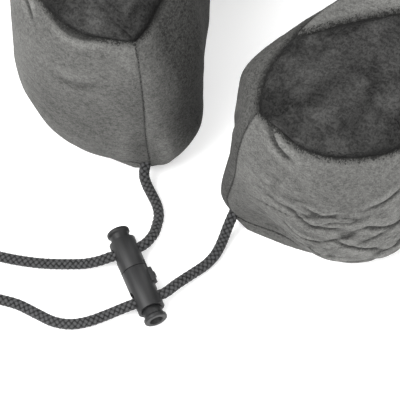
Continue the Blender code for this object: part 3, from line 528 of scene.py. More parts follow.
def crease(along, up, line, depth, width, lip=0.6):
    """A fold along a line of (along, up) points in metres: a valley with a lip above it."""
    line = smooth_curve(line, 8)
    shares = np.linspace(0.0, 1.0, len(line))
    best = np.full(along.shape, 1e9)
    side = np.zeros(along.shape)
    place = np.zeros(along.shape)
    for index in range(len(line) - 1):
        start, step = line[index], line[index + 1] - line[index]
        length = float(step @ step)
        dx, dy = along - start[0], up - start[1]
        t = np.clip((dx * step[0] + dy * step[1]) / length, 0.0, 1.0)
        gap = np.hypot(dx - t * step[0], dy - t * step[1])
        closer = gap < best
        best = np.where(closer, gap, best)
        side = np.where(closer, np.sign(step[0] * dy - step[1] * dx) * gap, side)
        place = np.where(closer, shares[index] + t * (shares[1] - shares[0]), place)
    taper = np.clip(np.sin(np.pi * np.clip(place, 0.02, 0.98)), 0.0, 1.0) ** 0.7
    valley = -np.exp(-(best / width) ** 2)
    ridge = lip * np.exp(-((side - 1.9 * width) / (1.5 * width)) ** 2)
    fade = np.exp(-(best / (5.0 * width)) ** 2)
    return depth * taper * (valley + ridge * fade)


def outward_of(line, side):
    """Level directions out of the fabric along a row of points; `side` says on which side."""
    tangents = np.gradient(line[:, :2], axis=0)
    level = np.column_stack([tangents[:, 1], -tangents[:, 0], 0.0 * tangents[:, 0]]) * side
    return level / np.maximum(np.linalg.norm(level, axis=1, keepdims=True), 1e-12)


def border_outward(line, side, ends):
    """Level directions out of the fabric along a border, turned to the tips' own at its ends."""
    along = lengths_along(line)
    from_tip = np.full(len(line), 1.0)
    if "first" in ends:
        from_tip = np.minimum(from_tip, along)
    if "last" in ends:
        from_tip = np.minimum(from_tip, along[-1] - along)
    share = seam_profile(from_tip, 0.008)[:, None]
    return outward_of(line, side) * (1.0 - share) + tip_direction(line) * share


def tip_direction(line):
    """The way out of the nearer arm's tip, for every point of a line."""
    return np.column_stack([
        np.where(line[:, 0] < 0, TIP_WAY[0], -TIP_WAY[0]), np.full(len(line), TIP_WAY[1]),
        np.zeros(len(line))])


def with_seams(grid, seams):
    """Normals that turn, beside each seam, to the way in which both its panels sink."""
    normals = grid_normals(grid)
    for distance, direction in seams:
        share = seam_profile(distance, 0.007)[..., None]
        normals = normals * (1.0 - share) + direction * share
    return normals / np.maximum(np.linalg.norm(normals, axis=2, keepdims=True), 1e-12)


def unit(directions):
    return directions / np.maximum(np.linalg.norm(directions, axis=-1, keepdims=True), 1e-12)


def wrinkles(along, up, size, seed, tilt=0.0, stretch=3.2):
    """Sharp creases that wander across loose cloth, from 0 to -1 in their valleys."""
    u = along * math.cos(tilt) + up * math.sin(tilt)
    v = up * math.cos(tilt) - along * math.sin(tilt)
    flat = np.stack([u, v, 0.0 * u], axis=-1)
    warp = np.stack([
        lattice_noise(flat, size * 2.4, seed), lattice_noise(flat, size * 2.0, seed + 1),
        0.0 * u], axis=-1)
    bent = flat / (stretch, 1.0, 1.0) + warp * size * 0.55
    ridge = 1.0 - np.abs(lattice_noise(bent, size, seed + 2)) * 2.6
    patch = eased(0.5 + 1.2 * lattice_noise(flat, size * 3.0, seed + 3))
    return -np.clip(ridge, 0.0, 1.0) ** 1.6 * patch


def new_piece(name, mesh):
    piece = bpy.data.objects.new(name, mesh)
    bpy.context.scene.collection.objects.link(piece)
    return piece


def add_cloth_map(mesh, places):
    """A UV map in metres, from one place on the cloth for every vertex."""
    uv = mesh.uv_layers.new(name="Cloth")
    corners = np.zeros(len(mesh.loops), dtype=np.int32)
    mesh.loops.foreach_get("vertex_index", corners)
    uv.data.foreach_set("uv", places[corners].ravel().astype(np.float32))


def add_values(mesh, label, values):
    """A named number at every vertex, which the material reads."""
    layer = mesh.attributes.new(label, "FLOAT", "POINT")
    layer.data.foreach_set("value", values.ravel().astype(np.float32))


def panel_mesh(
        name, grid, normals, lift, along, up, seam_shade, nap_and_shade, keep=None, thickness=COVER_THICKNESS):
    """A closed piece of cloth: the grid's outer face, moved out by `lift`, and a face inside."""
    outer = grid + normals * lift[..., None]
    inner = outer - normals * thickness
    rows, columns = grid.shape[:2]
    count = rows * columns
    mesh = bpy.data.meshes.new(name)
    numbers = np.arange(count).reshape(rows, columns)
    quads = np.stack([
        numbers[:-1, :-1], numbers[:-1, 1:], numbers[1:, 1:], numbers[1:, :-1]], axis=-1)
    if keep is None:
        keep = np.ones(quads.shape[:2], dtype=bool)
    front = quads[keep]
    back = front[:, ::-1] + count
    edges = {}
    for quad in front.tolist():
        for a, b in zip(quad, quad[1:] + quad[:1]):
            if (b, a) in edges:
                del edges[(b, a)]
            else:
                edges[(a, b)] = True
    rim = np.array([(b, a, a + count, b + count) for a, b in edges])
    faces = np.concatenate([front, back, rim])
    points = np.concatenate([outer.reshape(-1, 3), inner.reshape(-1, 3)])
    mesh.from_pydata(points.tolist(), [], faces.tolist())
    add_cloth_map(mesh, np.tile(np.column_stack([along.ravel(), up.ravel()]), (2, 1)))
    add_values(mesh, "seam_shade", np.tile(seam_shade.ravel(), 2))
    add_values(mesh, "nap_and_shade", np.tile(nap_and_shade.ravel(), 2))
    shape = bmesh.new()
    shape.from_mesh(mesh)
    loose = [vert for vert in shape.verts if not vert.link_faces]
    bmesh.ops.delete(shape, geom=loose, context="VERTS")
    bmesh.ops.remove_doubles(shape, verts=shape.verts[:], dist=0.00002)
    bmesh.ops.dissolve_degenerate(shape, dist=0.00001, edges=shape.edges[:])
    shape.to_mesh(mesh)
    shape.free()
    mesh.shade_smooth()
    return new_piece(name, mesh)


LINING_THICKNESS = 0.0008
LINING_GAP = 0.0005


def every_few(count, step=4):
    return np.unique(np.append(np.arange(0, count, step), count - 1))


def lining_mesh(grid, normals, lift, along, up):
    """The liner under a panel of the cover, closed all round and a little inside it."""
    few = np.ix_(every_few(grid.shape[0]), every_few(grid.shape[1]))
    none = np.zeros(lift[few].shape)
    depth = lift[few] - COVER_THICKNESS - LINING_GAP
    return panel_mesh(
        "foam_liner_cloth", grid[few], normals[few], depth, along[few], up[few], none, none,
        thickness=LINING_THICKNESS)


def seam_profile(distance, width=0.0046):
    """1 on a seam, falling to 0 where the cloth is full again."""
    return np.clip(1.0 - distance / width, 0.0, 1.0)


PUCKER_SEED = 11
FLAT_SEAM = 0.35             # depth of the tip and base seams, as a share of the top seams' depth


def roll_in(grid, seams):
    """How far the cloth sinks beside its seams, puckered by the thread, as (distance, depth)."""
    pucker = 1.0 + 0.30 * lattice_noise(grid, 0.0046, PUCKER_SEED)
    gathers = lattice_noise(grid, 0.0038, PUCKER_SEED + 1)
    sunk = np.zeros(grid.shape[:2])
    for distance, depth in seams:
        width = 0.0030 + 1.3 * depth
        valley = -depth * seam_profile(distance, width) ** 1.8 * pucker
        ripple = 0.17 * depth * gathers * np.exp(-distance / (0.8 * width))
        sunk = np.minimum(sunk, valley) + ripple
    return sunk


def soft_relief(grid, seed, broad=0.0006, fine=0.00016):
    """Uneven fullness of the foam and the loose cloth."""
    return (broad * lattice_noise(grid, 0.026, seed)
            + 0.5 * broad * lattice_noise(grid, 0.012, seed + 1)
            + fine * lattice_noise(grid, 0.0045, seed + 2))


# ---- Stage ----
CAMERA_TARGET = (0.0067, -0.1155, 0.0092)
CAMERA_AZIMUTH = math.radians(27)
CAMERA_ELEVATION = math.radians(62)
CAMERA_DISTANCE = 1.2
CAMERA_LENS = 225            # millimetres, on a sensor 36 wide
LIGHT_TARGET = (0, -0.03, 0.05)


def deselect():
    for item in bpy.context.view_layer.objects:
        item.select_set(False)


def area_light(name, place, size, power):
    bpy.ops.object.light_add(type="AREA", location=place)
    lamp = bpy.context.object
    lamp.name = name
    lamp.data.size = size
    lamp.data.energy = power
    way = Vector(LIGHT_TARGET) - Vector(place)
    lamp.rotation_euler = way.to_track_quat("-Z", "Y").to_euler()


class BuildStage(bpy.types.Operator):
    """Pale floor, soft studio lights and the camera"""
    bl_idname = "neckpillow.build_stage"
    bl_label = "Stage"

    def execute(self, context):
        deselect()
        back = Vector((
            math.sin(CAMERA_AZIMUTH) * math.cos(CAMERA_ELEVATION),
            -math.cos(CAMERA_AZIMUTH) * math.cos(CAMERA_ELEVATION), math.sin(CAMERA_ELEVATION)))
        bpy.ops.object.camera_add(location=Vector(CAMERA_TARGET) + back * CAMERA_DISTANCE)
        camera = context.object
        camera.rotation_euler = (-back).to_track_quat("-Z", "Y").to_euler()
        camera.data.lens = CAMERA_LENS
        camera.data.sensor_width = 36
        context.scene.camera = camera

        bpy.ops.mesh.primitive_plane_add(size=6.0, location=(0, 0, -0.0004))
        floor = context.object
        bpy.ops.object.transform_apply(location=True, rotation=True, scale=True)
        floor.name = "floor"
        floor.data.materials.append(floor_finish("Pale studio floor"))

        area_light("key_light", (-0.7, -0.9, 1.5), 1.3, 38)
        area_light("fill_light", (1.1, -0.5, 1.1), 1.4, 9)
        area_light("back_light", (-0.2, 1.2, 1.1), 1.2, 18)
        world = bpy.data.worlds.new("Studio")
        world.use_nodes = True
        world.node_tree.nodes["Background"].inputs["Color"].default_value = (1, 1, 1, 1)
        world.node_tree.nodes["Background"].inputs["Strength"].default_value = 1.0
        context.scene.world = world
        context.scene.view_settings.view_transform = "Standard"
        return {"FINISHED"}


# ---- Cords ----
def crossing(offset):
    """The two points between which a cord runs straight through the lock, right side first."""
    across = np.array([math.cos(LOCK_HEADING), math.sin(LOCK_HEADING), 0.0])
    out_of_upper = np.array([math.sin(LOCK_HEADING), -math.cos(LOCK_HEADING), 0.0])
    middle = np.array(LOCK_CENTRE) + out_of_upper * offset
    return middle - across * CROSSING_HALF_LENGTH, middle + across * CROSSING_HALF_LENGTH


def line_frames(line):
    """Two sideways directions at every point of a line, carried along without twisting."""
    tangents = np.gradient(line, axis=0)
    tangents /= np.linalg.norm(tangents, axis=1)[:, None]
    side = np.cross(tangents[0], (0.0, 0.0, 1.0))
    sides = []
    for tangent in tangents:
        side = side - tangent * (side @ tangent)
        side = side / np.linalg.norm(side)
        sides.append(side)
    sides = np.array(sides)
    return sides, np.cross(sides, tangents)


def braid_relief(around, along, strands, cell):
    """Height of an over-one, under-one braid, from 0 in its pits to 1 on its strands."""
    first = around * strands / math.tau + along / cell
    second = around * strands / math.tau - along / cell
    over = (np.floor(first) + np.floor(second)) % 2 == 0
    u = first - np.floor(first) - 0.5
    v = second - np.floor(second) - 0.5
    across = np.where(over, u, v)
    lengthways = np.where(over, v, u)
    return np.sqrt(np.clip(1.0 - (2.0 * across) ** 2, 0.0, 1.0)) * (1.0 - 1.3 * lengthways ** 2)


def braided_tube(name, line, diameter, material, flatten=1.0, segments=40, step=0.00034):
    """A closed tube whose surface has the strands of a round braid."""
    length = lengths_along(line)[-1]
    count = max(8, round(length / step))
    centres = at_shares(line, np.linspace(0.0, 1.0, count + 1))
    along = np.linspace(0.0, length, count + 1)
    sides, ups = line_frames(centres)
    around = np.linspace(0.0, math.tau, segments, endpoint=False)
    turn, run = np.meshgrid(around, along)
    relief = braid_relief(turn, run, 5, 0.0027)
    radius = diameter / 2 * (0.79 + 0.22 * relief)
    end = np.minimum(run, length - run)
    radius = radius * np.sqrt(np.clip(end / 0.0012, 0.05, 1.0))
    points = (centres[:, None, :]
              + sides[:, None, :] * (np.cos(turn) * radius)[..., None]
              + ups[:, None, :] * (np.sin(turn) * radius * flatten)[..., None])
    rings = len(along)
    numbers = np.arange(rings * segments).reshape(rings, segments)
    following = np.roll(numbers, -1, axis=1)
    quads = np.stack([numbers[:-1], following[:-1], following[1:], numbers[1:]], axis=-1)
    faces = quads.reshape(-1, 4).tolist()
    faces.append(numbers[0][::-1].tolist())
    faces.append(numbers[-1].tolist())
    mesh = bpy.data.meshes.new(name)
    mesh.from_pydata(points.reshape(-1, 3).tolist(), [], faces)
    add_values(mesh, "relief", relief)
    add_cloth_map(mesh, np.column_stack([(turn * diameter / 2).ravel(), run.ravel()]))
    shape = bmesh.new()
    shape.from_mesh(mesh)
    bmesh.ops.recalc_face_normals(shape, faces=shape.faces[:])
    shape.to_mesh(mesh)
    shape.free()
    mesh.shade_smooth()
    mesh.materials.append(material)
    return new_piece(name, mesh)


def overhand_knot(name, centre, heading, diameter, material):
    """A pulled-tight overhand knot: the cord turns through its own loop."""
    turns = np.linspace(-0.62, 2 * math.pi + 0.62, 60)
    loop = np.column_stack([
        np.sin(turns) + 2.0 * np.sin(2 * turns), np.cos(turns) - 2.0 * np.cos(2 * turns),
        -np.sin(3 * turns)])
    loop = loop * (0.00155, 0.00135, 0.0020)
    turn = np.array(Matrix.Rotation(heading, 3, "Z"))
    line = loop @ turn.T + np.array(centre)
    return braided_tube(name, line, diameter, material, 1.0, 28, 0.0005)


class BuildCords(bpy.types.Operator):
    """The two braided cords, from the arm tips through the lock to their knots"""
    bl_idname = "neckpillow.build_cords"
    bl_label = "Cords"

    def execute(self, context):
        material = braided_cord("Charcoal braid", context.scene.neck_pillow_trim.cord_colour)
        cords = [
            ("left", LEFT_CORD_TO_LOCK, LEFT_CORD_TAIL, UPPER_CORD_OFFSET, "upper_lock",
             ("lock_barrel_upper", "lock_plunger_upper", "lock_coil_upper", "lock_latch")),
            ("right", RIGHT_CORD_TO_LOCK, RIGHT_CORD_TAIL, -LOWER_CORD_OFFSET, "lower_lock",
             ("lock_barrel_lower", "lock_plunger_lower", "lock_coil_lower"))]
        for side, to_lock, tail, offset, body, on_cord in cords:
            entry, leaving = crossing(offset)
            inside = np.array(to_lock[0]) + CORD_START_INSIDE
            low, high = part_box(f"{side}_cord_knot")
            middle = (np.array(low) + np.array(high)) / 2
            along = unit(np.array(tail[-1]) - np.array(tail[-2]))
            stub = middle + along * CORD_STUB - (0.0, 0.0, middle[2] - CORD_DIAMETER / 2)
            line = smooth_curve([inside, *to_lock, entry, leaving, *tail, middle, stub])
            cord = braided_tube(f"braided_cord_{side}", line, CORD_DIAMETER, material, 0.97)
            heading = math.atan2(along[1], along[0])
            knot = overhand_knot(
                f"cord_knot_{side}", middle, heading, CORD_DIAMETER * 0.86, material)
            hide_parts(f"{side}_cord_knot")
            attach(knot, body)
            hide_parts(f"{side}_cord")
            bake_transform(cord)
        return {"FINISHED"}


# ---- Cover ----
UP = np.array([0.0, 0.0, 1.0])


def wall_rows():
    below = WAIST_HEIGHT - BASE_SEAM_HEIGHT
    window = [(height - WAIST_HEIGHT) / below for height in (ZIP_WINDOW_BOTTOM, ZIP_WINDOW_TOP)]
    shares = spaced(0.112, 0.0007, 0.0013) * 2.0 - 1.0
    return snapped(shares, 0.0, *window)


def local_mean(values, reach=9):
    """Values averaged over a square of neighbours, so that only fine folds stand out."""
    kernel = np.ones(reach) / reach
    padded = np.pad(values, reach // 2, mode="edge")
    rows = np.apply_along_axis(lambda row: np.convolve(row, kernel, "valid"), 1, padded)
    return np.apply_along_axis(lambda column: np.convolve(column, kernel, "valid"), 0, rows)


def wall_panel(name, grid, from_left, settings, folds, seed, nap_and_shade, window=None):
    """A wall from tip to tip, facing out, with its three seams rolled in and its folds raised."""
    along, up = distances(grid)
    from_right = from_left[:, :1] + from_left[:, -1:] - from_left
    from_tip = np.minimum(from_left, from_right)
    from_seam = np.minimum(np.minimum(up, up[-1:] - up), from_tip)
    tips = tip_direction(grid[grid.shape[0] // 2])
    top_out = border_outward(grid[-1], 1.0, ("first", "last"))
    base_out = border_outward(grid[0], 1.0, ("first", "last"))
    normals = with_seams(grid, [
        (from_tip, tips[None, :]),
        (up[-1:] - up, unit(top_out + UP)[None, :]),
        (up, unit(base_out - UP)[None, :])])
    lift = roll_in(grid, [
        (up[-1:] - up, settings.seam_depth), (up, settings.seam_depth * FLAT_SEAM),
        (from_tip, settings.seam_depth * FLAT_SEAM)])
    lift += (soft_relief(grid, seed) + folds) * settings.wrinkle_height * eased(from_seam / 0.006)
    seam_shade = np.maximum.reduce([
        seam_profile(up[-1:] - up, 0.0050), 0.75 * seam_profile(from_tip, 0.0014),
        0.45 * seam_profile(up, 0.0012)])
    keep = None
    if window is not None:
        to_window, keep = window(grid, up, from_tip)
        lift -= 0.0012 * seam_profile(to_window, 0.0035) ** 2
        seam_shade = np.maximum(seam_shade, 0.8 * seam_profile(to_window, 0.0015))
    # Painted shade in the valleys of the folds and painted light on their lips, added to the nap
    # values
    nap_and_shade = nap_and_shade + np.clip((folds - local_mean(folds)) * 2800.0, -2.2, 0.9)
    panel = panel_mesh(name, grid, normals, lift, along, up, seam_shade, nap_and_shade, keep)
    return panel, lining_mesh(grid, normals, lift, along, up)


def measured_from_left(grid):
    """Metres from the left arm's tip along the middle of a wall, in every row."""
    middle = grid[grid.shape[0] // 2]
    along = lengths_along(middle)
    if middle[0, 0] > 0:
        along = along[-1] - along
    return along[None, :].repeat(grid.shape[0], axis=0)


def zip_opening(grid, up, from_tip):
    """Distance to the zip's window in the wall, and which faces stay around it."""
    middle = grid.shape[1] // 2
    low = int(np.argmin(np.abs(grid[:, middle, 2] - ZIP_WINDOW_BOTTOM)))
    high = int(np.argmin(np.abs(grid[:, middle, 2] - ZIP_WINDOW_TOP)))
    edge = from_tip.max() - ZIP_WINDOW_HALF_LENGTH
    beside = np.maximum(edge - from_tip, 0.0)
    beyond = np.maximum(up - up[high, middle], 0.0) + np.maximum(up[low, middle] - up, 0.0)
    inside = from_tip[0] > edge - 0.0004
    keep = np.ones((grid.shape[0] - 1, grid.shape[1] - 1), dtype=bool)
    keep[low:high, inside[:-1] & inside[1:]] = False
    return np.hypot(beside, beyond), keep


# Folds as (line of metres from the tip and metres up from the base, depth, width)
LEFT_OUTER_FOLDS = [
    ([(0.060, 0.088), (0.072, 0.094), (0.088, 0.101)], 0.0011, 0.0018),
    ([(0.014, 0.100), (0.032, 0.099), (0.052, 0.101)], 0.0014, 0.0022),
    ([(0.020, 0.070), (0.034, 0.066), (0.046, 0.069)], 0.0005, 0.0036)]
RIGHT_OUTER_FOLDS = [
    ([(0.008, 0.097), (0.017, 0.090), (0.028, 0.088)], 0.0016, 0.0016),
    ([(0.034, 0.056), (0.046, 0.049), (0.060, 0.051)], 0.0015, 0.0013),
    ([(0.030, 0.040), (0.040, 0.034), (0.052, 0.036)], 0.0014, 0.0012),
    ([(0.056, 0.040), (0.066, 0.034), (0.078, 0.030)], 0.0014, 0.0012),
    ([(0.018, 0.026), (0.028, 0.019), (0.038, 0.020)], 0.0013, 0.0011),
    ([(0.046, 0.024), (0.056, 0.018), (0.070, 0.020)], 0.0013, 0.0012),
    ([(0.040, 0.064), (0.050, 0.060), (0.058, 0.064)], 0.0010, 0.0014),
    ([(0.068, 0.066), (0.080, 0.071), (0.088, 0.078)], 0.0011, 0.0018),
    ([(0.070, 0.052), (0.082, 0.046), (0.096, 0.048)], 0.0013, 0.0014)]
LEFT_INNER_FOLDS = [([(0.034, 0.072), (0.042, 0.058), (0.052, 0.046)], 0.0008, 0.0024)]
RIGHT_INNER_FOLDS = [([(0.012, 0.080), (0.016, 0.066), (0.018, 0.052)], 0.0007, 0.0030)]


def wall_folds(from_left, up, left_folds, right_folds):
    from_right = from_left.max() - from_left
    folds = np.zeros(up.shape)
    for from_tip, lines in ((from_left, left_folds), (from_right, right_folds)):
        for line, depth, width in lines:
            folds += crease(from_tip, up, line, depth, width)
    return folds


def outer_wall_panel(settings):
    waist = plan_line(WAIST_OUTER_FRONT + quarter_ellipse(WAIST_OUTER_BACK))
    length = lengths_along(waist)[-1]
    zip_end = 1.0 - ZIP_WINDOW_HALF_LENGTH / length
    columns = snapped(arm_shares(length, 0.0012, 0.0021, 0.50), zip_end)
    grid = both_halves(wall_half(False, columns, wall_rows()))[:, ::-1]
    from_left = measured_from_left(grid)
    up = distances(grid)[1]
    folds = wall_folds(from_left, up, LEFT_OUTER_FOLDS, RIGHT_OUTER_FOLDS)
    from_right = from_left.max() - from_left
    loose = eased((0.150 - from_right) / 0.060) * eased((from_right - 0.006) / 0.020)
    loose = loose * eased((0.082 - up) / 0.030) * eased((up - 0.004) / 0.010)
    folds += 0.0010 * loose * wrinkles(from_right, up, 0.0092, 41, -0.35, 2.2)
    folds += 0.0008 * loose * wrinkles(from_right, up, 0.0060, 51, 0.40, 2.4)
    folds += 0.0005 * loose * wrinkles(from_right, up, 0.0036, 55, -0.20, 2.6)
    folds += 0.0002 * wrinkles(from_left, up, 0.0130, 61, 0.2)
    full = 0.0026 * np.exp(-((up - 0.020) / 0.018) ** 2)
    folds += full * eased(from_left / 0.012) * eased((0.105 - from_left) / 0.040)
    folds += full * eased((from_right - 0.030) / 0.030) * eased((0.140 - from_right) / 0.030)
    nap_and_shade = 0.35 * lattice_noise(grid, 0.035, 31)
    return wall_panel("cover_wall_outer", grid, from_left, settings, folds, 21, nap_and_shade, zip_opening)


def inner_wall_panel(settings):
    length = lengths_along(plan_line(WAIST_INNER))[-1]
    columns = arm_shares(length, 0.0013, 0.0019, 0.45)
    grid = both_halves(wall_half(True, columns, wall_rows()))
    from_left = measured_from_left(grid)
    up = distances(grid)[1]
    folds = wall_folds(from_left, up, LEFT_INNER_FOLDS, RIGHT_INNER_FOLDS)
    folds += 0.0022 * np.exp(-((up - 0.018) / 0.018) ** 2) * (
        eased(from_left / 0.010) * eased((0.050 - from_left) / 0.020))
    # Both arms' inner sides are darker, on the left except beside the tip: painted shade between
    # the arms, together with pile that lies the dark way
    brushed_and_shaded = eased((from_left - 0.004) / 0.022) * eased((0.115 - from_left) / 0.030)
    from_right = from_left.max() - from_left
    nap_and_shade = 0.30 * lattice_noise(grid, 0.035, 32) - 1.2 * brushed_and_shaded
    nap_and_shade -= 0.95 * eased((0.090 - from_right) / 0.040)
    return wall_panel("cover_wall_inner", grid, from_left, settings, folds, 22, nap_and_shade)


def top_grid(columns_outer, columns_inner, across):
    """Rungs of the left half's top, from its outer seam to its inner one."""
    outer = at_shares(plan_line(TOP_OUTER_FRONT + quarter_ellipse(TOP_OUTER_BACK)), columns_outer)
    inner = at_shares(plan_line(TOP_INNER), columns_inner)
    outer = np.column_stack([outer, seam_height(columns_outer, 0.45, BACK_OUTER_SEAM_HEIGHT)])
    inner = np.column_stack([inner, seam_height(columns_inner, 0.30, BACK_INNER_SEAM_HEIGHT)])
    crown = LOBE_CROWN + (BACK_CROWN - LOBE_CROWN) * eased((columns_outer - CROSS_SEAM_OUTER) / 0.4)
    crown = crown * eased(columns_outer / 0.2)
    grid = []
    for share in across:
        row = outer + (inner - outer) * share
        row[:, 2] += crown * (4.0 * share * (1.0 - share)) ** 0.7
        grid.append(row)
    return np.array(grid)


def top_panel(name, grid, tip_end, settings, relief, nap_and_shade):
    """A panel of the top, facing up, from its outer seam to its inner one."""
    along, up = distances(grid)
    from_seam = np.minimum(up, up[-1:] - up)
    if "first" not in tip_end:
        from_seam = np.minimum(from_seam, along)
    if "last" not in tip_end:
        from_seam = np.minimum(from_seam, along[:, -1:] - along)
    outer_out = border_outward(grid[0], 1.0, tip_end)
    inner_out = border_outward(grid[-1], -1.0, tip_end)
    normals = with_seams(grid, [
        (up, unit(outer_out + UP)[None, :]),
        (up[-1:] - up, unit(inner_out + UP)[None, :])])
    lift = roll_in(grid, [(from_seam, settings.seam_depth)])
    lift += relief * settings.wrinkle_height * eased(from_seam / 0.010)
    seam_shade = seam_profile(from_seam, 0.0064)
    panel = panel_mesh(name, grid, normals, lift, along, up, seam_shade, nap_and_shade)
    return panel, lining_mesh(grid, normals, lift, along, up)


def lobe_panel(settings, side):
    shares = spaced(0.16, 0.0007, 0.0013)
    across = spaced(0.090, 0.0007, 0.0013)
    grid = top_grid(shares * CROSS_SEAM_OUTER, shares * CROSS_SEAM_INNER, across)
    if side == "left":
        grid, tip_end = settle(grid)[:, ::-1], ("last",)
    else:
        grid, tip_end = settle(grid * (-1.0, 1.0, 1.0)), ("first",)
    along, up = distances(grid)
    relief = soft_relief(grid, 23, 0.0010, 0.00030) + 0.0007 * wrinkles(along, up, 0.0095, 71, 0.9)
    swirls = grid * (1.0, 0.55, 1.0) + 0.006 * lattice_noise(grid, 0.012, 37)[..., None]
    nap_and_shade = 0.7 * lattice_noise(swirls, 0.015, 33) + 0.7 * lattice_noise(swirls, 0.0062, 38) - 0.15
    # Painted shade in the lobes' dips and painted light on their rises
    nap_and_shade += np.clip(relief * 500.0, -0.8, 0.8)
    return top_panel(f"cover_lobe_{side}", grid, tip_end, settings, relief, nap_and_shade)


def neck_top_panel(settings):
    shares = spaced(0.16, 0.0008, 0.0020)
    outer = CROSS_SEAM_OUTER + (1.0 - CROSS_SEAM_OUTER) * shares
    inner = CROSS_SEAM_INNER + (1.0 - CROSS_SEAM_INNER) * shares
    grid = both_halves(top_grid(outer, inner, spaced(0.080, 0.0008, 0.0018)))[:, ::-1]
    nap_and_shade = 0.4 * lattice_noise(grid, 0.03, 34)
    return top_panel("cover_neck", grid, (), settings, soft_relief(grid, 24), nap_and_shade)


def base_panel(settings):
    outer_line = plan_line(WAIST_OUTER_FRONT + quarter_ellipse(WAIST_OUTER_BACK))
    inner_line = plan_line(WAIST_INNER)
    shares = arm_shares(0.36, 0.0020, 0.0030, 0.4)
    share_inner = np.interp(shares, [0.0, CROSS_SEAM_OUTER, 1.0], [0.0, CROSS_SEAM_INNER, 1.0])
    outer = base_seam(at_shares(outer_line, shares), shares, 1.0)
    inner = base_seam(at_shares(inner_line, share_inner), share_inner, -1.0)
    inner[0] = outer[0]
    spans = np.linalg.norm(inner - outer, axis=1)
    rows = []
    for share in spaced(0.085, 0.0008, 0.0026):
        plan = outer + (inner - outer) * share
        edge = np.minimum(share, 1.0 - share) * spans
        height = BASE_SEAM_HEIGHT * np.clip(1.0 - edge / BASE_ROUNDING, 0.0, 1.0)
        rows.append(np.column_stack([plan, height]))
    grid = both_halves(np.array(rows))
    along, up = distances(grid)
    from_seam = np.minimum(up, up[-1:] - up)
    outer_out = border_outward(grid[0], -1.0, ("first", "last"))
    inner_out = border_outward(grid[-1], 1.0, ("first", "last"))
    normals = with_seams(grid, [
        (up, unit(outer_out - UP)[None, :]),
        (up[-1:] - up, unit(inner_out - UP)[None, :])])
    lift = roll_in(grid, [(from_seam, settings.seam_depth * FLAT_SEAM)])
    seam_shade = seam_profile(from_seam, 0.0024)
    nap_and_shade = 0.3 * lattice_noise(grid, 0.03, 35)
    panel = panel_mesh("cover_underside", grid, normals, lift, along, up, seam_shade, nap_and_shade)
    return panel, lining_mesh(grid, normals, lift, along, up)


def woven_liner(name):
    """Thin off-white polyester weave."""
    finish = Finish(name, Roughness=0.8, Specular_IOR_Level=0.3)
    across, along, _ = finish.split(finish.along_cloth())
    weave = (across * 7000.0).sine() * (along * 7000.0).sine()
    uneven = finish.noise(finish.place(), 260.0, 3.0)
    share = (0.5 + weave * 0.3 + (uneven - 0.5) * 0.6).clamped()
    finish.set("Base Color", finish.blend_colours(share, (0.46, 0.45, 0.43), (0.68, 0.67, 0.64)))
    finish.bump(weave * 0.5 + uneven, 0.00008, 0.6)
    return finish.material


def memory_foam(name):
    """Pale foam with open pores."""
    finish = Finish(name, Roughness=0.9, Specular_IOR_Level=0.2)
    place = finish.place()
    pores = finish.noise(place, 1300.0, 3.0, 0.7)
    broad = finish.noise(place, 60.0, 2.0)
    share = ((pores - 0.42) * 3.0 + (broad - 0.5) * 0.5).clamped()
    finish.set("Base Color", finish.blend_colours(share, (0.38, 0.35, 0.27), (0.78, 0.75, 0.66)))
    finish.bump(pores, 0.00035, 0.9)
    return finish.material


class BuildCover(bpy.types.Operator):
    """The six velour panels of the zipped cover, and the liner and foam inside them"""
    bl_idname = "neckpillow.build_cover"
    bl_label = "Cover and foam"

    def execute(self, context):
        settings = context.scene.neck_pillow_velour
        light = velour("Light grey velour", settings.wall_colour, 0.00048, 0.85)
        dark = velour("Dark grey velour", settings.top_colour, 0.00062, 1.15)
        panels = [
            (outer_wall_panel(settings), "cover_outer_wall", light),
            (inner_wall_panel(settings), "cover_inner_wall", light),
            (lobe_panel(settings, "left"), "cover_left_lobe_top", dark),
            (lobe_panel(settings, "right"), "cover_right_lobe_top", dark),
            (neck_top_panel(settings), "cover_neck_top", light),
            (base_panel(settings), "cover_base", light)]
        for (piece, _), node, material in panels:
            piece.data.materials.append(material)
            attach(piece, "pillow")
            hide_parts(node)
            "velour_dark" if material == dark else "velour_light"

        liner = join_pieces([lining for (_, lining), _, _ in panels])
        liner.name = "foam_liner_cloth"
        liner.data.materials.append(woven_liner("Off-white liner"))
        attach(liner, "pillow")
        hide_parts("foam_liner")

        foam = new_piece("foam_block", frame["nodes"]["foam_core"].data.copy())
        shape = bmesh.new()
        shape.from_mesh(foam.data)
        bmesh.ops.remove_doubles(shape, verts=shape.verts[:], dist=0.00001)
        bmesh.ops.subdivide_edges(shape, edges=shape.edges[:], cuts=1, use_grid_fill=True)
        for _ in range(8):
            bmesh.ops.smooth_vert(
                shape, verts=shape.verts[:], factor=0.5, use_axis_x=True, use_axis_y=True,
                use_axis_z=True)
        shape.to_mesh(foam.data)
        shape.free()
        foam.data.shade_smooth()
        foam.data.materials.clear()
        foam.data.materials.append(memory_foam("Cream foam"))
        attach(foam, "pillow")
        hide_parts("foam_core")
        return {"FINISHED"}


# ---- Modelling by hand ----
def start_solid(kind, **placing):
    """A primitive to work on, alone in the selection, with its place in its mesh."""
    deselect()
    getattr(bpy.ops.mesh, f"primitive_{kind}_add")(**placing)
    bpy.ops.object.transform_apply(location=True, rotation=True, scale=True)
    return bpy.context.object


def pick(piece, test):
    """Enter edit mode with only the faces selected whose middle and normal pass the test."""
    if bpy.context.mode != "EDIT_MESH":
        bpy.ops.object.mode_set(mode="EDIT")
    bpy.ops.mesh.select_mode(type="FACE")
    bpy.ops.mesh.select_all(action="DESELECT")
    shape = bmesh.from_edit_mesh(piece.data)
    for face in shape.faces:
        face.select_set(bool(test(face.calc_center_median(), face.normal)))
    shape.select_flush_mode()
    bmesh.update_edit_mesh(piece.data)


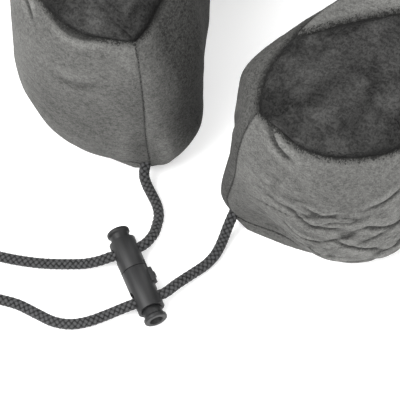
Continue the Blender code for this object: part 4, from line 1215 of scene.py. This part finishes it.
def push(distance, scale=1.0, axis=(0.0, 0.0, 1.0)):
    """Extrude the selected faces along an axis, and scale the new ends about it."""
    value = [distance * part for part in axis]
    bpy.ops.mesh.extrude_region_move(TRANSFORM_OT_translate={"value": value})
    if scale != 1.0:
        bpy.ops.transform.resize(value=[1.0 if part else scale for part in axis])


def leave_edit():
    bpy.ops.object.mode_set(mode="OBJECT")


def slice_across(heights):
    """Cut every face of the mesh in edit mode at each of the heights."""
    for height in heights:
        bpy.ops.mesh.select_all(action="SELECT")
        bpy.ops.mesh.bisect(plane_co=(0.0, 0.0, height), plane_no=(0.0, 0.0, 1.0))


def end_face(height, way=1.0):
    return lambda middle, normal: normal.z * way > 0.9 and abs(middle.z - height) < 0.00002


def apply_modifier(piece, kind, **settings):
    deselect()
    piece.select_set(True)
    bpy.context.view_layer.objects.active = piece
    modifier = piece.modifiers.new(kind.title(), kind)
    for setting, value in settings.items():
        setattr(modifier, setting, value)
    bpy.ops.object.modifier_apply(modifier=modifier.name)


def cut_away(piece, cutter):
    apply_modifier(piece, "BOOLEAN", operation="DIFFERENCE", solver="EXACT", object=cutter)
    bpy.data.objects.remove(cutter, do_unlink=True)


def round_edges(piece, width, segments=2, angle=40):
    apply_modifier(
        piece, "BEVEL", width=width, segments=segments, limit_method="ANGLE",
        angle_limit=math.radians(angle), use_clamp_overlap=True)


def finish_piece(piece, name, matrix, material, body, nodes):
    """Move the finished mesh into place and hand it over to its body."""
    piece.name = name
    piece.data.transform(matrix)
    piece.data.materials.clear()
    piece.data.materials.append(material)
    deselect()
    piece.select_set(True)
    bpy.context.view_layer.objects.active = piece
    bpy.ops.object.shade_smooth_by_angle(angle=math.radians(35))
    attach(piece, body)
    if nodes:
        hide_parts(*nodes)
    return piece


def join_pieces(pieces):
    deselect()
    for piece in pieces:
        piece.select_set(True)
    bpy.context.view_layer.objects.active = pieces[0]
    bpy.ops.object.join()
    return pieces[0]


def copies(piece, matrices):
    """The piece once at every matrix, each with its own mesh, joined into one object."""
    made = []
    for matrix in matrices:
        copy = new_piece(piece.name, piece.data.copy())
        copy.data.transform(matrix)
        made.append(copy)
    bpy.data.objects.remove(piece, do_unlink=True)
    return join_pieces(made)


# ---- Cord lock ----
BARREL_RADIUS = 0.0065
BORE_RADIUS = 0.0050
UPPER_BARREL_LENGTH = 0.0165
LOWER_BARREL_LENGTH = 0.0220
UPPER_BORE_FLOOR = 0.0015
LOWER_BORE_FLOOR = 0.0061
SPIGOT_RADIUS = 0.0045
SPIGOT_LENGTH = 0.0045
SOCKET_DEPTH = 0.0050
BARREL_GAP = 0.0003
SLIDING_CLEARANCE = 0.0003
SLOT_RADIUS = 0.0030
UPPER_SLOT_START = 0.0070
LOWER_SLOT_START = 0.0103
LATCH_SIDE_SLOT_START = 0.0127
PLUNGER_RADIUS = 0.0047
PLUNGER_TRAVEL = 0.0024
PLUNGER_END_WALL = 0.0010
SPRING_WIRE = 0.0005
SPRING_RADIUS = 0.00245
SPRING_TURNS = 4
NECK_LENGTH = 0.0035
FLANGE_RADIUS = 0.0056
FLANGE_THICKNESS = 0.0025
FLANGE_FLARE = 0.0008
FLANGE_EASE = 0.0004         # height of the sloping rims on the flange and in its hollow
BUTTON_RIM = 0.0019
BUTTON_HOLLOW = 0.0014
PAST_THE_BARREL = 0.02       # how far cutters reach to either side
OFF_THE_AXIS = 0.001         # where cutters for one side start
LATCH_TILT = math.radians(12)
LATCH_WIDTH = 0.0050
LATCH_ARM_INNER_RADIUS = 0.0055
LATCH_ARM_THICKNESS = 0.0009
LATCH_ARM_TOP = 0.0020
LATCH_PAD_START = 0.0020
LATCH_PAD_END = 0.0096
LATCH_PAD_HEIGHT = 0.0020
LATCH_RIDGE = (0.0028, 0.0052)          # from the pad's start: where its ridge starts and ends
NOTCH_INNER_RADIUS = 0.0044


def half_sizes(half):
    """A half's barrel length, the height of its bore's floor, and where its cord crosses."""
    if half == "upper":
        return UPPER_BARREL_LENGTH, UPPER_BORE_FLOOR, UPPER_CORD_OFFSET
    return LOWER_BARREL_LENGTH, LOWER_BORE_FLOOR, LOWER_CORD_OFFSET


def lock_matrix(half):
    heading = LOCK_HEADING if half == "upper" else LOCK_HEADING + math.pi
    turn = Matrix.Rotation(heading, 4, "Z") @ Matrix.Rotation(math.pi / 2, 4, "X")
    return Matrix.Translation(LOCK_CENTRE) @ turn


def moulded_plastic(name, colour):
    """Matte charcoal plastic: fine spark texture, with a painted highlight that makes its raised
    edges paler.
    """
    finish = Finish(name, Specular_IOR_Level=0.36)
    place = finish.place()
    spark = finish.noise(place, 2400.0, 2.0, 0.5)
    clouds = finish.noise(place, 160.0, 3.0, 0.5)
    edge = finish.add("ShaderNodeNewGeometry", {}, {}, "Pointiness")
    # Raised edges painted paler: a painted highlight
    edge_highlight = ((edge - 0.52) * 9.0).clamped() * 0.55
    tone = finish.blend_colours(clouds, shade(colour, 0.82), shade(colour, 1.18))
    finish.set("Base Color", finish.blend_colours(edge_highlight, tone, shade(colour, 2.6)))
    finish.set("Roughness", 0.38 + spark * 0.16 + clouds * 0.06)
    finish.bump(spark, 0.00005, 0.5)
    return finish.material


def slot_cutter(start, end, low, high):
    """An obround bar along X, from height `start` to height `end`."""
    bar = start_solid(
        "cylinder", vertices=40, radius=SLOT_RADIUS, depth=high - low,
        location=((low + high) / 2, 0.0, start + SLOT_RADIUS), rotation=(0.0, math.pi / 2, 0.0))
    bpy.ops.object.mode_set(mode="EDIT")
    bpy.ops.mesh.select_mode(type="VERT")
    shape = bmesh.from_edit_mesh(bar.data)
    for vert in shape.verts:
        vert.select_set(vert.co.z > start + SLOT_RADIUS + 0.00001)
    bmesh.update_edit_mesh(bar.data)
    bpy.ops.transform.translate(value=(0.0, 0.0, end - start - 2 * SLOT_RADIUS))
    leave_edit()
    return bar


def box_cutter(low, high, turn):
    middle = [(a + b) / 2 for a, b in zip(low, high)]
    box = start_solid("cube", size=1.0, location=middle, scale=[b - a for a, b in zip(low, high)])
    box.data.transform(turn)
    return box


def latch_turn(side):
    return Matrix.Rotation(math.pi - LATCH_TILT if side == "upper" else LATCH_TILT, 4, "Z")


def barrel(half):
    upper = half == "upper"
    length, floor, cord = half_sizes(half)
    start = 0.0 if upper else BARREL_GAP
    body = start_solid(
        "cylinder", vertices=64, radius=BARREL_RADIUS, depth=length - start,
        location=(0.0, 0.0, (length + start) / 2))
    pick(body, end_face(length))
    bpy.ops.mesh.inset(thickness=BARREL_RADIUS - BORE_RADIUS)
    push(floor - length)
    pick(body, end_face(start, -1.0))
    if upper:
        bpy.ops.mesh.inset(thickness=BARREL_RADIUS - SPIGOT_RADIUS)
        push(-SPIGOT_LENGTH)
    else:
        bpy.ops.mesh.inset(thickness=BARREL_RADIUS - SPIGOT_RADIUS - SLIDING_CLEARANCE)
        push(SOCKET_DEPTH - start)
    leave_edit()
    slot_end = cord + SLOT_RADIUS
    slot_start = UPPER_SLOT_START if upper else LOWER_SLOT_START
    near_latch = UPPER_SLOT_START if upper else LATCH_SIDE_SLOT_START
    sides = [(OFF_THE_AXIS, PAST_THE_BARREL), (-PAST_THE_BARREL, -OFF_THE_AXIS)]
    away_side, latch_side = sides if upper else reversed(sides)
    cut_away(body, slot_cutter(slot_start, slot_end, *away_side))
    cut_away(body, slot_cutter(near_latch, slot_end, *latch_side))
    half_width = LATCH_WIDTH / 2 + SLIDING_CLEARANCE
    far = BARREL_RADIUS * 2
    inner = LATCH_ARM_INNER_RADIUS - SLIDING_CLEARANCE if upper else NOTCH_INNER_RADIUS
    top = (LATCH_ARM_TOP if upper else LATCH_PAD_END) + SLIDING_CLEARANCE
    cut_away(body, box_cutter(
        (inner, -half_width, -far), (far, half_width, top), latch_turn(half)))
    round_edges(body, 0.00028, 2, 50)
    return body


def plunger(half):
    length, _, cord = half_sizes(half)
    hole_start = cord - SLOT_RADIUS
    bottom = hole_start - PLUNGER_END_WALL
    neck_top = length + NECK_LENGTH
    body = start_solid(
        "cylinder", vertices=56, radius=PLUNGER_RADIUS, depth=neck_top - bottom,
        location=(0.0, 0.0, (neck_top + bottom) / 2))
    pick(body, end_face(neck_top))
    push(FLANGE_FLARE, FLANGE_RADIUS / PLUNGER_RADIUS)
    push(FLANGE_THICKNESS - FLANGE_FLARE - FLANGE_EASE)
    push(FLANGE_EASE, 0.94)
    bpy.ops.mesh.inset(thickness=BUTTON_RIM)
    push(-FLANGE_EASE, 0.96)
    push(-BUTTON_HOLLOW, 0.86)
    leave_edit()
    hole_end = cord + SLOT_RADIUS + PLUNGER_TRAVEL + SLIDING_CLEARANCE
    cut_away(body, slot_cutter(hole_start, hole_end, -PAST_THE_BARREL, PAST_THE_BARREL))
    round_edges(body, 0.00018, 2, 35)
    return body


def latch():
    """A springy leaf whose stepped pad is pressed to free the two halves."""
    outer = LATCH_ARM_INNER_RADIUS + LATCH_ARM_THICKNESS
    leaf = start_solid(
        "cube", size=1.0,
        location=((LATCH_ARM_INNER_RADIUS + outer) / 2, 0.0, (LATCH_ARM_TOP - LATCH_PAD_END) / 2),
        scale=(LATCH_ARM_THICKNESS, LATCH_WIDTH, LATCH_ARM_TOP + LATCH_PAD_END))
    bpy.ops.object.mode_set(mode="EDIT")
    slice_across(-LATCH_PAD_START - depth for depth in (0.0, *LATCH_RIDGE))
    rise = BARREL_RADIUS + LATCH_PAD_HEIGHT - outer
    pick(leaf, lambda middle, normal: normal.x > 0.9 and middle.z < -LATCH_PAD_START)
    push(rise * 0.72, 1.0, (1.0, 0.0, 0.0))
    bpy.ops.transform.resize(value=(1.0, 0.90, 0.94))
    ridge = -LATCH_PAD_START - sum(LATCH_RIDGE) / 2
    pick(leaf, lambda middle, normal: normal.x > 0.9 and abs(middle.z - ridge) < 0.0008)
    push(rise * 0.28, 1.0, (1.0, 0.0, 0.0))
    bpy.ops.transform.resize(value=(1.0, 0.80, 0.80))
    leave_edit()
    round_edges(leaf, 0.00030, 3, 25)
    return leaf


def spring(half, steel):
    """A coil between the bore's floor and the plunger."""
    _, floor, cord = half_sizes(half)
    rest = PLUNGER_END_WALL + SLIDING_CLEARANCE + SPRING_WIRE
    bottom = floor + SLIDING_CLEARANCE + SPRING_WIRE / 2
    length = cord - SLOT_RADIUS - rest + SPRING_WIRE / 2 - bottom
    deselect()
    bpy.ops.mesh.primitive_circle_add(
        vertices=8, radius=SPRING_WIRE / 2, location=(SPRING_RADIUS, 0.0, bottom),
        rotation=(math.pi / 2, 0.0, 0.0))
    bpy.ops.object.transform_apply(location=True, rotation=True, scale=True)
    coil = bpy.context.object
    apply_modifier(
        coil, "SCREW", axis="Z", screw_offset=length / SPRING_TURNS, iterations=SPRING_TURNS,
        steps=32, render_steps=32)
    bpy.ops.object.mode_set(mode="EDIT")
    bpy.ops.mesh.select_all(action="SELECT")
    bpy.ops.mesh.remove_doubles(threshold=0.000002)
    bpy.ops.mesh.select_all(action="SELECT")
    bpy.ops.mesh.fill_holes(sides=8)
    bpy.ops.mesh.select_all(action="SELECT")
    bpy.ops.mesh.normals_make_consistent(inside=False)
    leave_edit()
    matrix = lock_matrix(half)
    finish_piece(
        coil, f"lock_coil_{half}", matrix, steel, f"{half}_lock",
        [f"{half}_lock_spring"])
    height = length + SPRING_WIRE
    1.0 - (PLUNGER_TRAVEL + 0.0001) / height
    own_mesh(coil)


class BuildLock(bpy.types.Operator):
    """Both halves of the cord lock, with their plungers, springs and the release latch"""
    bl_idname = "neckpillow.build_lock"
    bl_label = "Cord lock"

    def execute(self, context):
        plastic = moulded_plastic("Charcoal plastic", context.scene.neck_pillow_trim.plastic_colour)
        steel = brushed_metal("Spring steel", (0.55, 0.55, 0.55), 0.28)
        for half in ("upper", "lower"):
            matrix = lock_matrix(half)
            finish_piece(
                barrel(half), f"lock_barrel_{half}", matrix, plastic, f"{half}_lock",
                [f"{half}_lock_barrel"])
            finish_piece(
                plunger(half), f"lock_plunger_{half}", matrix, plastic, f"{half}_plunger",
                [f"{half}_lock_plunger"])
            spring(half, steel)
        finish_piece(
            latch(), "lock_latch", lock_matrix("upper") @ latch_turn("upper"), plastic, "latch",
            ["release_latch"])
        return {"FINISHED"}


# ---- Zip ----
ARC_RADIUS = HALF_WIDTH ** 2 / HALF_DEPTH
ARC_CENTRE = (0.0, HALF_DEPTH - ARC_RADIUS, 0.0)
ZIP_HALF_LENGTH = 0.0585
ZIP_MIDDLE = (ZIP_WINDOW_BOTTOM + ZIP_WINDOW_TOP) / 2
TAPE_DEPTH = 0.0004
TAPE_THICKNESS = 0.0008
TAPE_OVERRUN = 0.0018
PANEL_GAP = 0.0006
CHAIN_WIDTH = 0.0034
CHAIN_THICKNESS = 0.0015
STOP_LENGTH = 0.0024
SLIDER_LENGTH = 0.009
SLIDER_WALL = 0.0011
PULL_PIN_DIAMETER = 0.0012
PULL_EYE_WIDTH = 0.0024
PULL_EYE_WALL = 0.0006
PULL_WIDTH = 0.0046
PULL_LENGTH = 0.018
PULL_THICKNESS = 0.0010
PULL_DROPS = (0.0024, 0.0036, 0.0150)   # below the pin: neck's end, shoulder, start of the taper
PULL_HOLE_DROP = 0.0128
PULL_HOLE_RADIUS = 0.0009
LUG_THICKNESS = 0.0010
LUG_MARGIN = 0.0005          # of the lugs around the pin
TOOTH_PITCH = 0.0013
TOOTH_THICKNESS = 0.00072


def wall_radius(height):
    share = (WAIST_HEIGHT - height) / (WAIST_HEIGHT - BASE_SEAM_HEIGHT)
    return ARC_RADIUS - BASE_INSET * share ** WALL_ROUNDNESS


def on_arc(angle):
    return Matrix.Translation(ARC_CENTRE) @ Matrix.Rotation(angle, 4, "Z")


def brushed_metal(name, colour, roughness):
    finish = Finish(name, Metallic=1.0)
    place = finish.place()
    brushing = finish.noise(finish.scaled(place, (300.0, 2200.0, 2200.0)), 1.0, 2.0, 0.5)
    wear = finish.noise(place, 220.0, 3.0, 0.6)
    finish.set("Base Color", finish.blend_colours(wear, shade(colour, 0.75), shade(colour, 1.15)))
    finish.set("Roughness", roughness + brushing * 0.14 + wear * 0.06)
    finish.bump(brushing, 0.00003, 0.4)
    return finish.material


def woven_tape(name):
    """Black herringbone tape."""
    finish = Finish(name, Roughness=0.85, Specular_IOR_Level=0.2)
    across, along, _ = finish.split(finish.along_cloth())
    zigzag = ((across * 1400.0).sine().size() * 1.6 + along * 5200.0).sine()
    fibres = finish.noise(finish.place(), 3000.0, 2.0)
    share = (0.5 + zigzag * 0.35 + (fibres - 0.5) * 0.5).clamped()
    finish.set(
        "Base Color", finish.blend_colours(share, (0.008, 0.008, 0.009), (0.045, 0.045, 0.048)))
    finish.bump(zigzag * 0.6 + fibres * 0.5, 0.00012, 0.7)
    return finish.material


def nylon_teeth(name):
    finish = Finish(name, Specular_IOR_Level=0.5)
    tone = finish.noise(finish.place(), 900.0, 2.0)
    finish.set(
        "Base Color", finish.blend_colours(tone, (0.012, 0.012, 0.013), (0.035, 0.035, 0.037)))
    finish.set("Roughness", 0.30 + tone * 0.18)
    finish.bump(tone, 0.00004, 0.4)
    return finish.material


def spun_bar(corners, start, end, steps):
    """A bar with a four-cornered (radius, height) section, spun about the zip's axis."""
    bar = start_solid("plane", size=1.0)
    bpy.ops.object.mode_set(mode="EDIT")
    shape = bmesh.from_edit_mesh(bar.data)
    shape.faces.ensure_lookup_table()
    for vert, (radius, height) in zip(shape.faces[0].verts, corners):
        vert.co = (-radius * math.sin(start), radius * math.cos(start), height)
    bmesh.update_edit_mesh(bar.data)
    bpy.ops.mesh.select_all(action="SELECT")
    bpy.ops.mesh.spin(
        steps=steps, dupli=False, angle=end - start, center=(0.0, 0.0, 0.0), axis=(0.0, 0.0, 1.0))
    leave_edit()
    shape = bmesh.new()
    shape.from_mesh(bar.data)
    if max(-math.atan2(vert.co.x, vert.co.y) for vert in shape.verts) <= start + 1e-6:
        # Spun the other way round: mirror it about the start
        for vert in shape.verts:
            angle = 2 * start + math.atan2(vert.co.x, vert.co.y)
            radius = math.hypot(vert.co.x, vert.co.y)
            vert.co = (-radius * math.sin(angle), radius * math.cos(angle), vert.co.z)
    bmesh.ops.remove_doubles(shape, verts=shape.verts[:], dist=1e-6)
    ends = [edge for edge in shape.edges if edge.is_boundary]
    bmesh.ops.holes_fill(shape, edges=ends, sides=8)
    bmesh.ops.recalc_face_normals(shape, faces=shape.faces[:])
    shape.to_mesh(bar.data)
    shape.free()
    uv = bar.data.uv_layers.get("Cloth") or bar.data.uv_layers.new(name="Cloth")
    for loop in bar.data.loops:
        point = bar.data.vertices[loop.vertex_index].co
        uv.data[loop.index].uv = (point.z, -math.atan2(point.x, point.y) * ARC_RADIUS)
    return bar


def build_tapes(material):
    edge = PANEL_GAP / 2 + SLIDING_CLEARANCE
    reach = (ZIP_HALF_LENGTH + TAPE_OVERRUN) / ARC_RADIUS
    spans = {
        "upper": (ZIP_WINDOW_TOP - edge, ZIP_MIDDLE + SLIDING_CLEARANCE / 2),
        "lower": (ZIP_MIDDLE - SLIDING_CLEARANCE / 2, ZIP_WINDOW_BOTTOM + edge)}
    for name, (top, bottom) in spans.items():
        outer_top, outer_bottom = (wall_radius(height) - TAPE_DEPTH for height in (top, bottom))
        corners = [
            (outer_top, top), (outer_bottom, bottom),
            (outer_bottom - TAPE_THICKNESS, bottom), (outer_top - TAPE_THICKNESS, top)]
        tape = spun_bar(corners, -reach, reach, 60)
        finish_piece(
            tape, f"zip_tape_{name}_woven", Matrix.Translation(ARC_CENTRE), material, "pillow",
            [f"zip_tape_{name}"])


def build_teeth(material, metal):
    back = wall_radius(ZIP_MIDDLE + CHAIN_WIDTH / 2) - TAPE_DEPTH + SLIDING_CLEARANCE
    middle = back + CHAIN_THICKNESS / 2
    tooth = start_solid(
        "uv_sphere", segments=8, ring_count=6, radius=0.5,
        scale=(TOOTH_THICKNESS, CHAIN_THICKNESS * 0.98, CHAIN_WIDTH * 0.60))
    pick(tooth, lambda centre, normal: centre.z > CHAIN_WIDTH * 0.12)
    bpy.ops.transform.resize(value=(1.25, 0.9, 1.0))
    leave_edit()
    places = []
    count = int(2 * ZIP_HALF_LENGTH / TOOTH_PITCH) - 1
    for number in range(count):
        angle = (number - (count - 1) / 2) * TOOTH_PITCH / middle
        side = 1 if number % 2 else -1
        height = ZIP_MIDDLE + side * CHAIN_WIDTH * 0.19
        flip = Matrix.Rotation(0.0 if side > 0 else math.pi, 4, "Y")
        places.append(on_arc(angle) @ Matrix.Translation((0.0, middle, height)) @ flip)
    chain = copies(tooth, places)
    finish_piece(
        chain, "zip_coil", Matrix.Identity(4), material, "pillow", ["zip_chain"])
    for name, side in (("left", 1), ("right", -1)):
        at = side * (ZIP_HALF_LENGTH + SLIDING_CLEARANCE + STOP_LENGTH / 2) / ARC_RADIUS
        block = start_solid(
            "cube", size=1.0, location=(0.0, middle, ZIP_MIDDLE),
            scale=(STOP_LENGTH, CHAIN_THICKNESS, CHAIN_WIDTH))
        round_edges(block, 0.0004, 3, 30)
        finish_piece(
            block, f"zip_end_{name}", on_arc(at), metal, "pillow",
            [f"zip_stop_{name}"])


def build_slider(metal):
    back = wall_radius(ZIP_MIDDLE + CHAIN_WIDTH / 2) - TAPE_DEPTH + SLIDING_CLEARANCE
    front = back + CHAIN_THICKNESS
    plate_back = front + SLIDING_CLEARANCE
    plate_front = plate_back + SLIDER_WALL
    inside = CHAIN_WIDTH / 2 + SLIDING_CLEARANCE
    outside = inside + SLIDER_WALL
    rest = (ZIP_HALF_LENGTH - SLIDER_LENGTH / 2 - SLIDING_CLEARANCE) / ARC_RADIUS
    plate = start_solid(
        "cube", size=1.0, location=(0.0, (plate_back + plate_front) / 2, ZIP_MIDDLE),
        scale=(SLIDER_LENGTH, SLIDER_WALL, 2 * outside))
    pick(plate, lambda middle, normal: normal.x < -0.9)
    bpy.ops.transform.resize(value=(1.0, 1.0, 0.84))
    pick(plate, lambda middle, normal: normal.y < -0.9)
    bpy.ops.mesh.inset(thickness=SLIDER_WALL * 0.98)
    leave_edit()
    pieces = [plate]
    for side in (-1, 1):
        wall = start_solid(
            "cube", size=1.0,
            location=(0.0, (back + SLIDING_CLEARANCE + plate_front) / 2,
                      ZIP_MIDDLE + side * (inside + outside) / 2),
            scale=(SLIDER_LENGTH * 0.94, plate_front - back - SLIDING_CLEARANCE, SLIDER_WALL))
        pieces.append(wall)
    eye_radius = PULL_PIN_DIAMETER / 2 + SLIDING_CLEARANCE + PULL_EYE_WALL
    pin_at = plate_front + SLIDING_CLEARANCE + eye_radius
    lug = PULL_PIN_DIAMETER / 2 + LUG_MARGIN
    for side in (-1, 1):
        x = side * (PULL_EYE_WIDTH / 2 + SLIDING_CLEARANCE + LUG_THICKNESS / 2)
        pieces.append(start_solid(
            "cube", size=1.0, location=(x, (plate_front + pin_at + lug) / 2 - 0.00015, ZIP_MIDDLE),
            scale=(LUG_THICKNESS, pin_at + lug - plate_front + 0.0003, 2 * lug)))
    for piece in pieces:
        round_edges(piece, 0.00030, 3, 30)
    pin = start_solid(
        "cylinder", vertices=20, radius=PULL_PIN_DIAMETER / 2, depth=PULL_EYE_WIDTH + 0.0012,
        location=(0.0, pin_at, ZIP_MIDDLE), rotation=(0.0, math.pi / 2, 0.0))
    round_edges(pin, 0.0001, 1, 40)
    slider = join_pieces([*pieces, pin])
    finish_piece(
        slider, "zip_slider_body", on_arc(-rest), metal, "slider", ["zip_slider"])

    eye = start_solid(
        "cylinder", vertices=28, radius=eye_radius, depth=PULL_EYE_WIDTH,
        location=(0.0, pin_at, ZIP_MIDDLE), rotation=(0.0, math.pi / 2, 0.0))
    bore = start_solid(
        "cylinder", vertices=24, radius=PULL_PIN_DIAMETER / 2 + SLIDING_CLEARANCE, depth=0.01,
        location=(0.0, pin_at, ZIP_MIDDLE), rotation=(0.0, math.pi / 2, 0.0))
    cut_away(eye, bore)
    top = ZIP_MIDDLE - eye_radius * 0.75
    bottom = ZIP_MIDDLE - PULL_LENGTH
    tab = start_solid(
        "cube", size=1.0, location=(0.0, pin_at, (top + bottom) / 2),
        scale=(PULL_EYE_WIDTH, PULL_THICKNESS, top - bottom))
    bpy.ops.object.mode_set(mode="EDIT")
    slice_across(ZIP_MIDDLE - drop for drop in PULL_DROPS)
    shape = bmesh.from_edit_mesh(tab.data)
    for vert in shape.verts:
        drop = ZIP_MIDDLE - vert.co.z
        width = np.interp(drop, (*PULL_DROPS, PULL_LENGTH), (
            PULL_EYE_WIDTH, PULL_WIDTH, PULL_WIDTH * 0.84, PULL_WIDTH * 0.5))
        vert.co.x = math.copysign(width / 2, vert.co.x)
    bmesh.update_edit_mesh(tab.data)
    leave_edit()
    cut_away(tab, start_solid(
        "cylinder", vertices=28, radius=PULL_HOLE_RADIUS, depth=0.01,
        location=(0.0, pin_at, ZIP_MIDDLE - PULL_HOLE_DROP), rotation=(math.pi / 2, 0.0, 0.0)))
    round_edges(tab, 0.00022, 3, 25)
    pull = join_pieces([tab, eye])
    finish_piece(pull, "zip_pull_tab", on_arc(-rest), metal, "pull", ["zip_pull"])


class BuildZip(bpy.types.Operator):
    """The zip at the back: woven tapes, nylon coil, end stops, slider and pull"""
    bl_idname = "neckpillow.build_zip"
    bl_label = "Zip"

    def execute(self, context):
        metal = brushed_metal("Gunmetal", context.scene.neck_pillow_trim.metal_colour, 0.26)
        build_tapes(woven_tape("Black zip tape"))
        build_teeth(nylon_teeth("Black nylon coil"), metal)
        build_slider(metal)
        return {"FINISHED"}


# ---- Add-on ----
class NeckPillowPanel(bpy.types.Panel):
    bl_idname = "NECKPILLOW_PT_sidebar"
    bl_label = "Neck pillow"
    bl_space_type = "VIEW_3D"
    bl_region_type = "UI"
    bl_category = "Neck pillow"

    def draw(self, context):
        for group in (context.scene.neck_pillow_velour, context.scene.neck_pillow_trim):
            for name in group.bl_rna.properties.keys():
                if name not in ("rna_type", "name"):
                    self.layout.prop(group, name)
        for operator in BUILDERS:
            self.layout.operator(operator.bl_idname)


BUILDERS = (BuildStage, BuildLock, BuildCords, BuildCover, BuildZip)
CLASSES = (VelourSettings, TrimSettings, *BUILDERS, NeckPillowPanel)


def register():
    for item in CLASSES:
        bpy.utils.register_class(item)
    bpy.types.Scene.neck_pillow_velour = PointerProperty(type=VelourSettings)
    bpy.types.Scene.neck_pillow_trim = PointerProperty(type=TrimSettings)


def unregister():
    del bpy.types.Scene.neck_pillow_trim
    del bpy.types.Scene.neck_pillow_velour
    for item in reversed(CLASSES):
        bpy.utils.unregister_class(item)


def main():
    register()
    bpy.ops.neckpillow.build_stage()
    bpy.ops.neckpillow.build_lock()
    bpy.ops.neckpillow.build_cords()
    bpy.ops.neckpillow.build_cover()
    bpy.ops.neckpillow.build_zip()


if __name__ == "__main__":
    main()
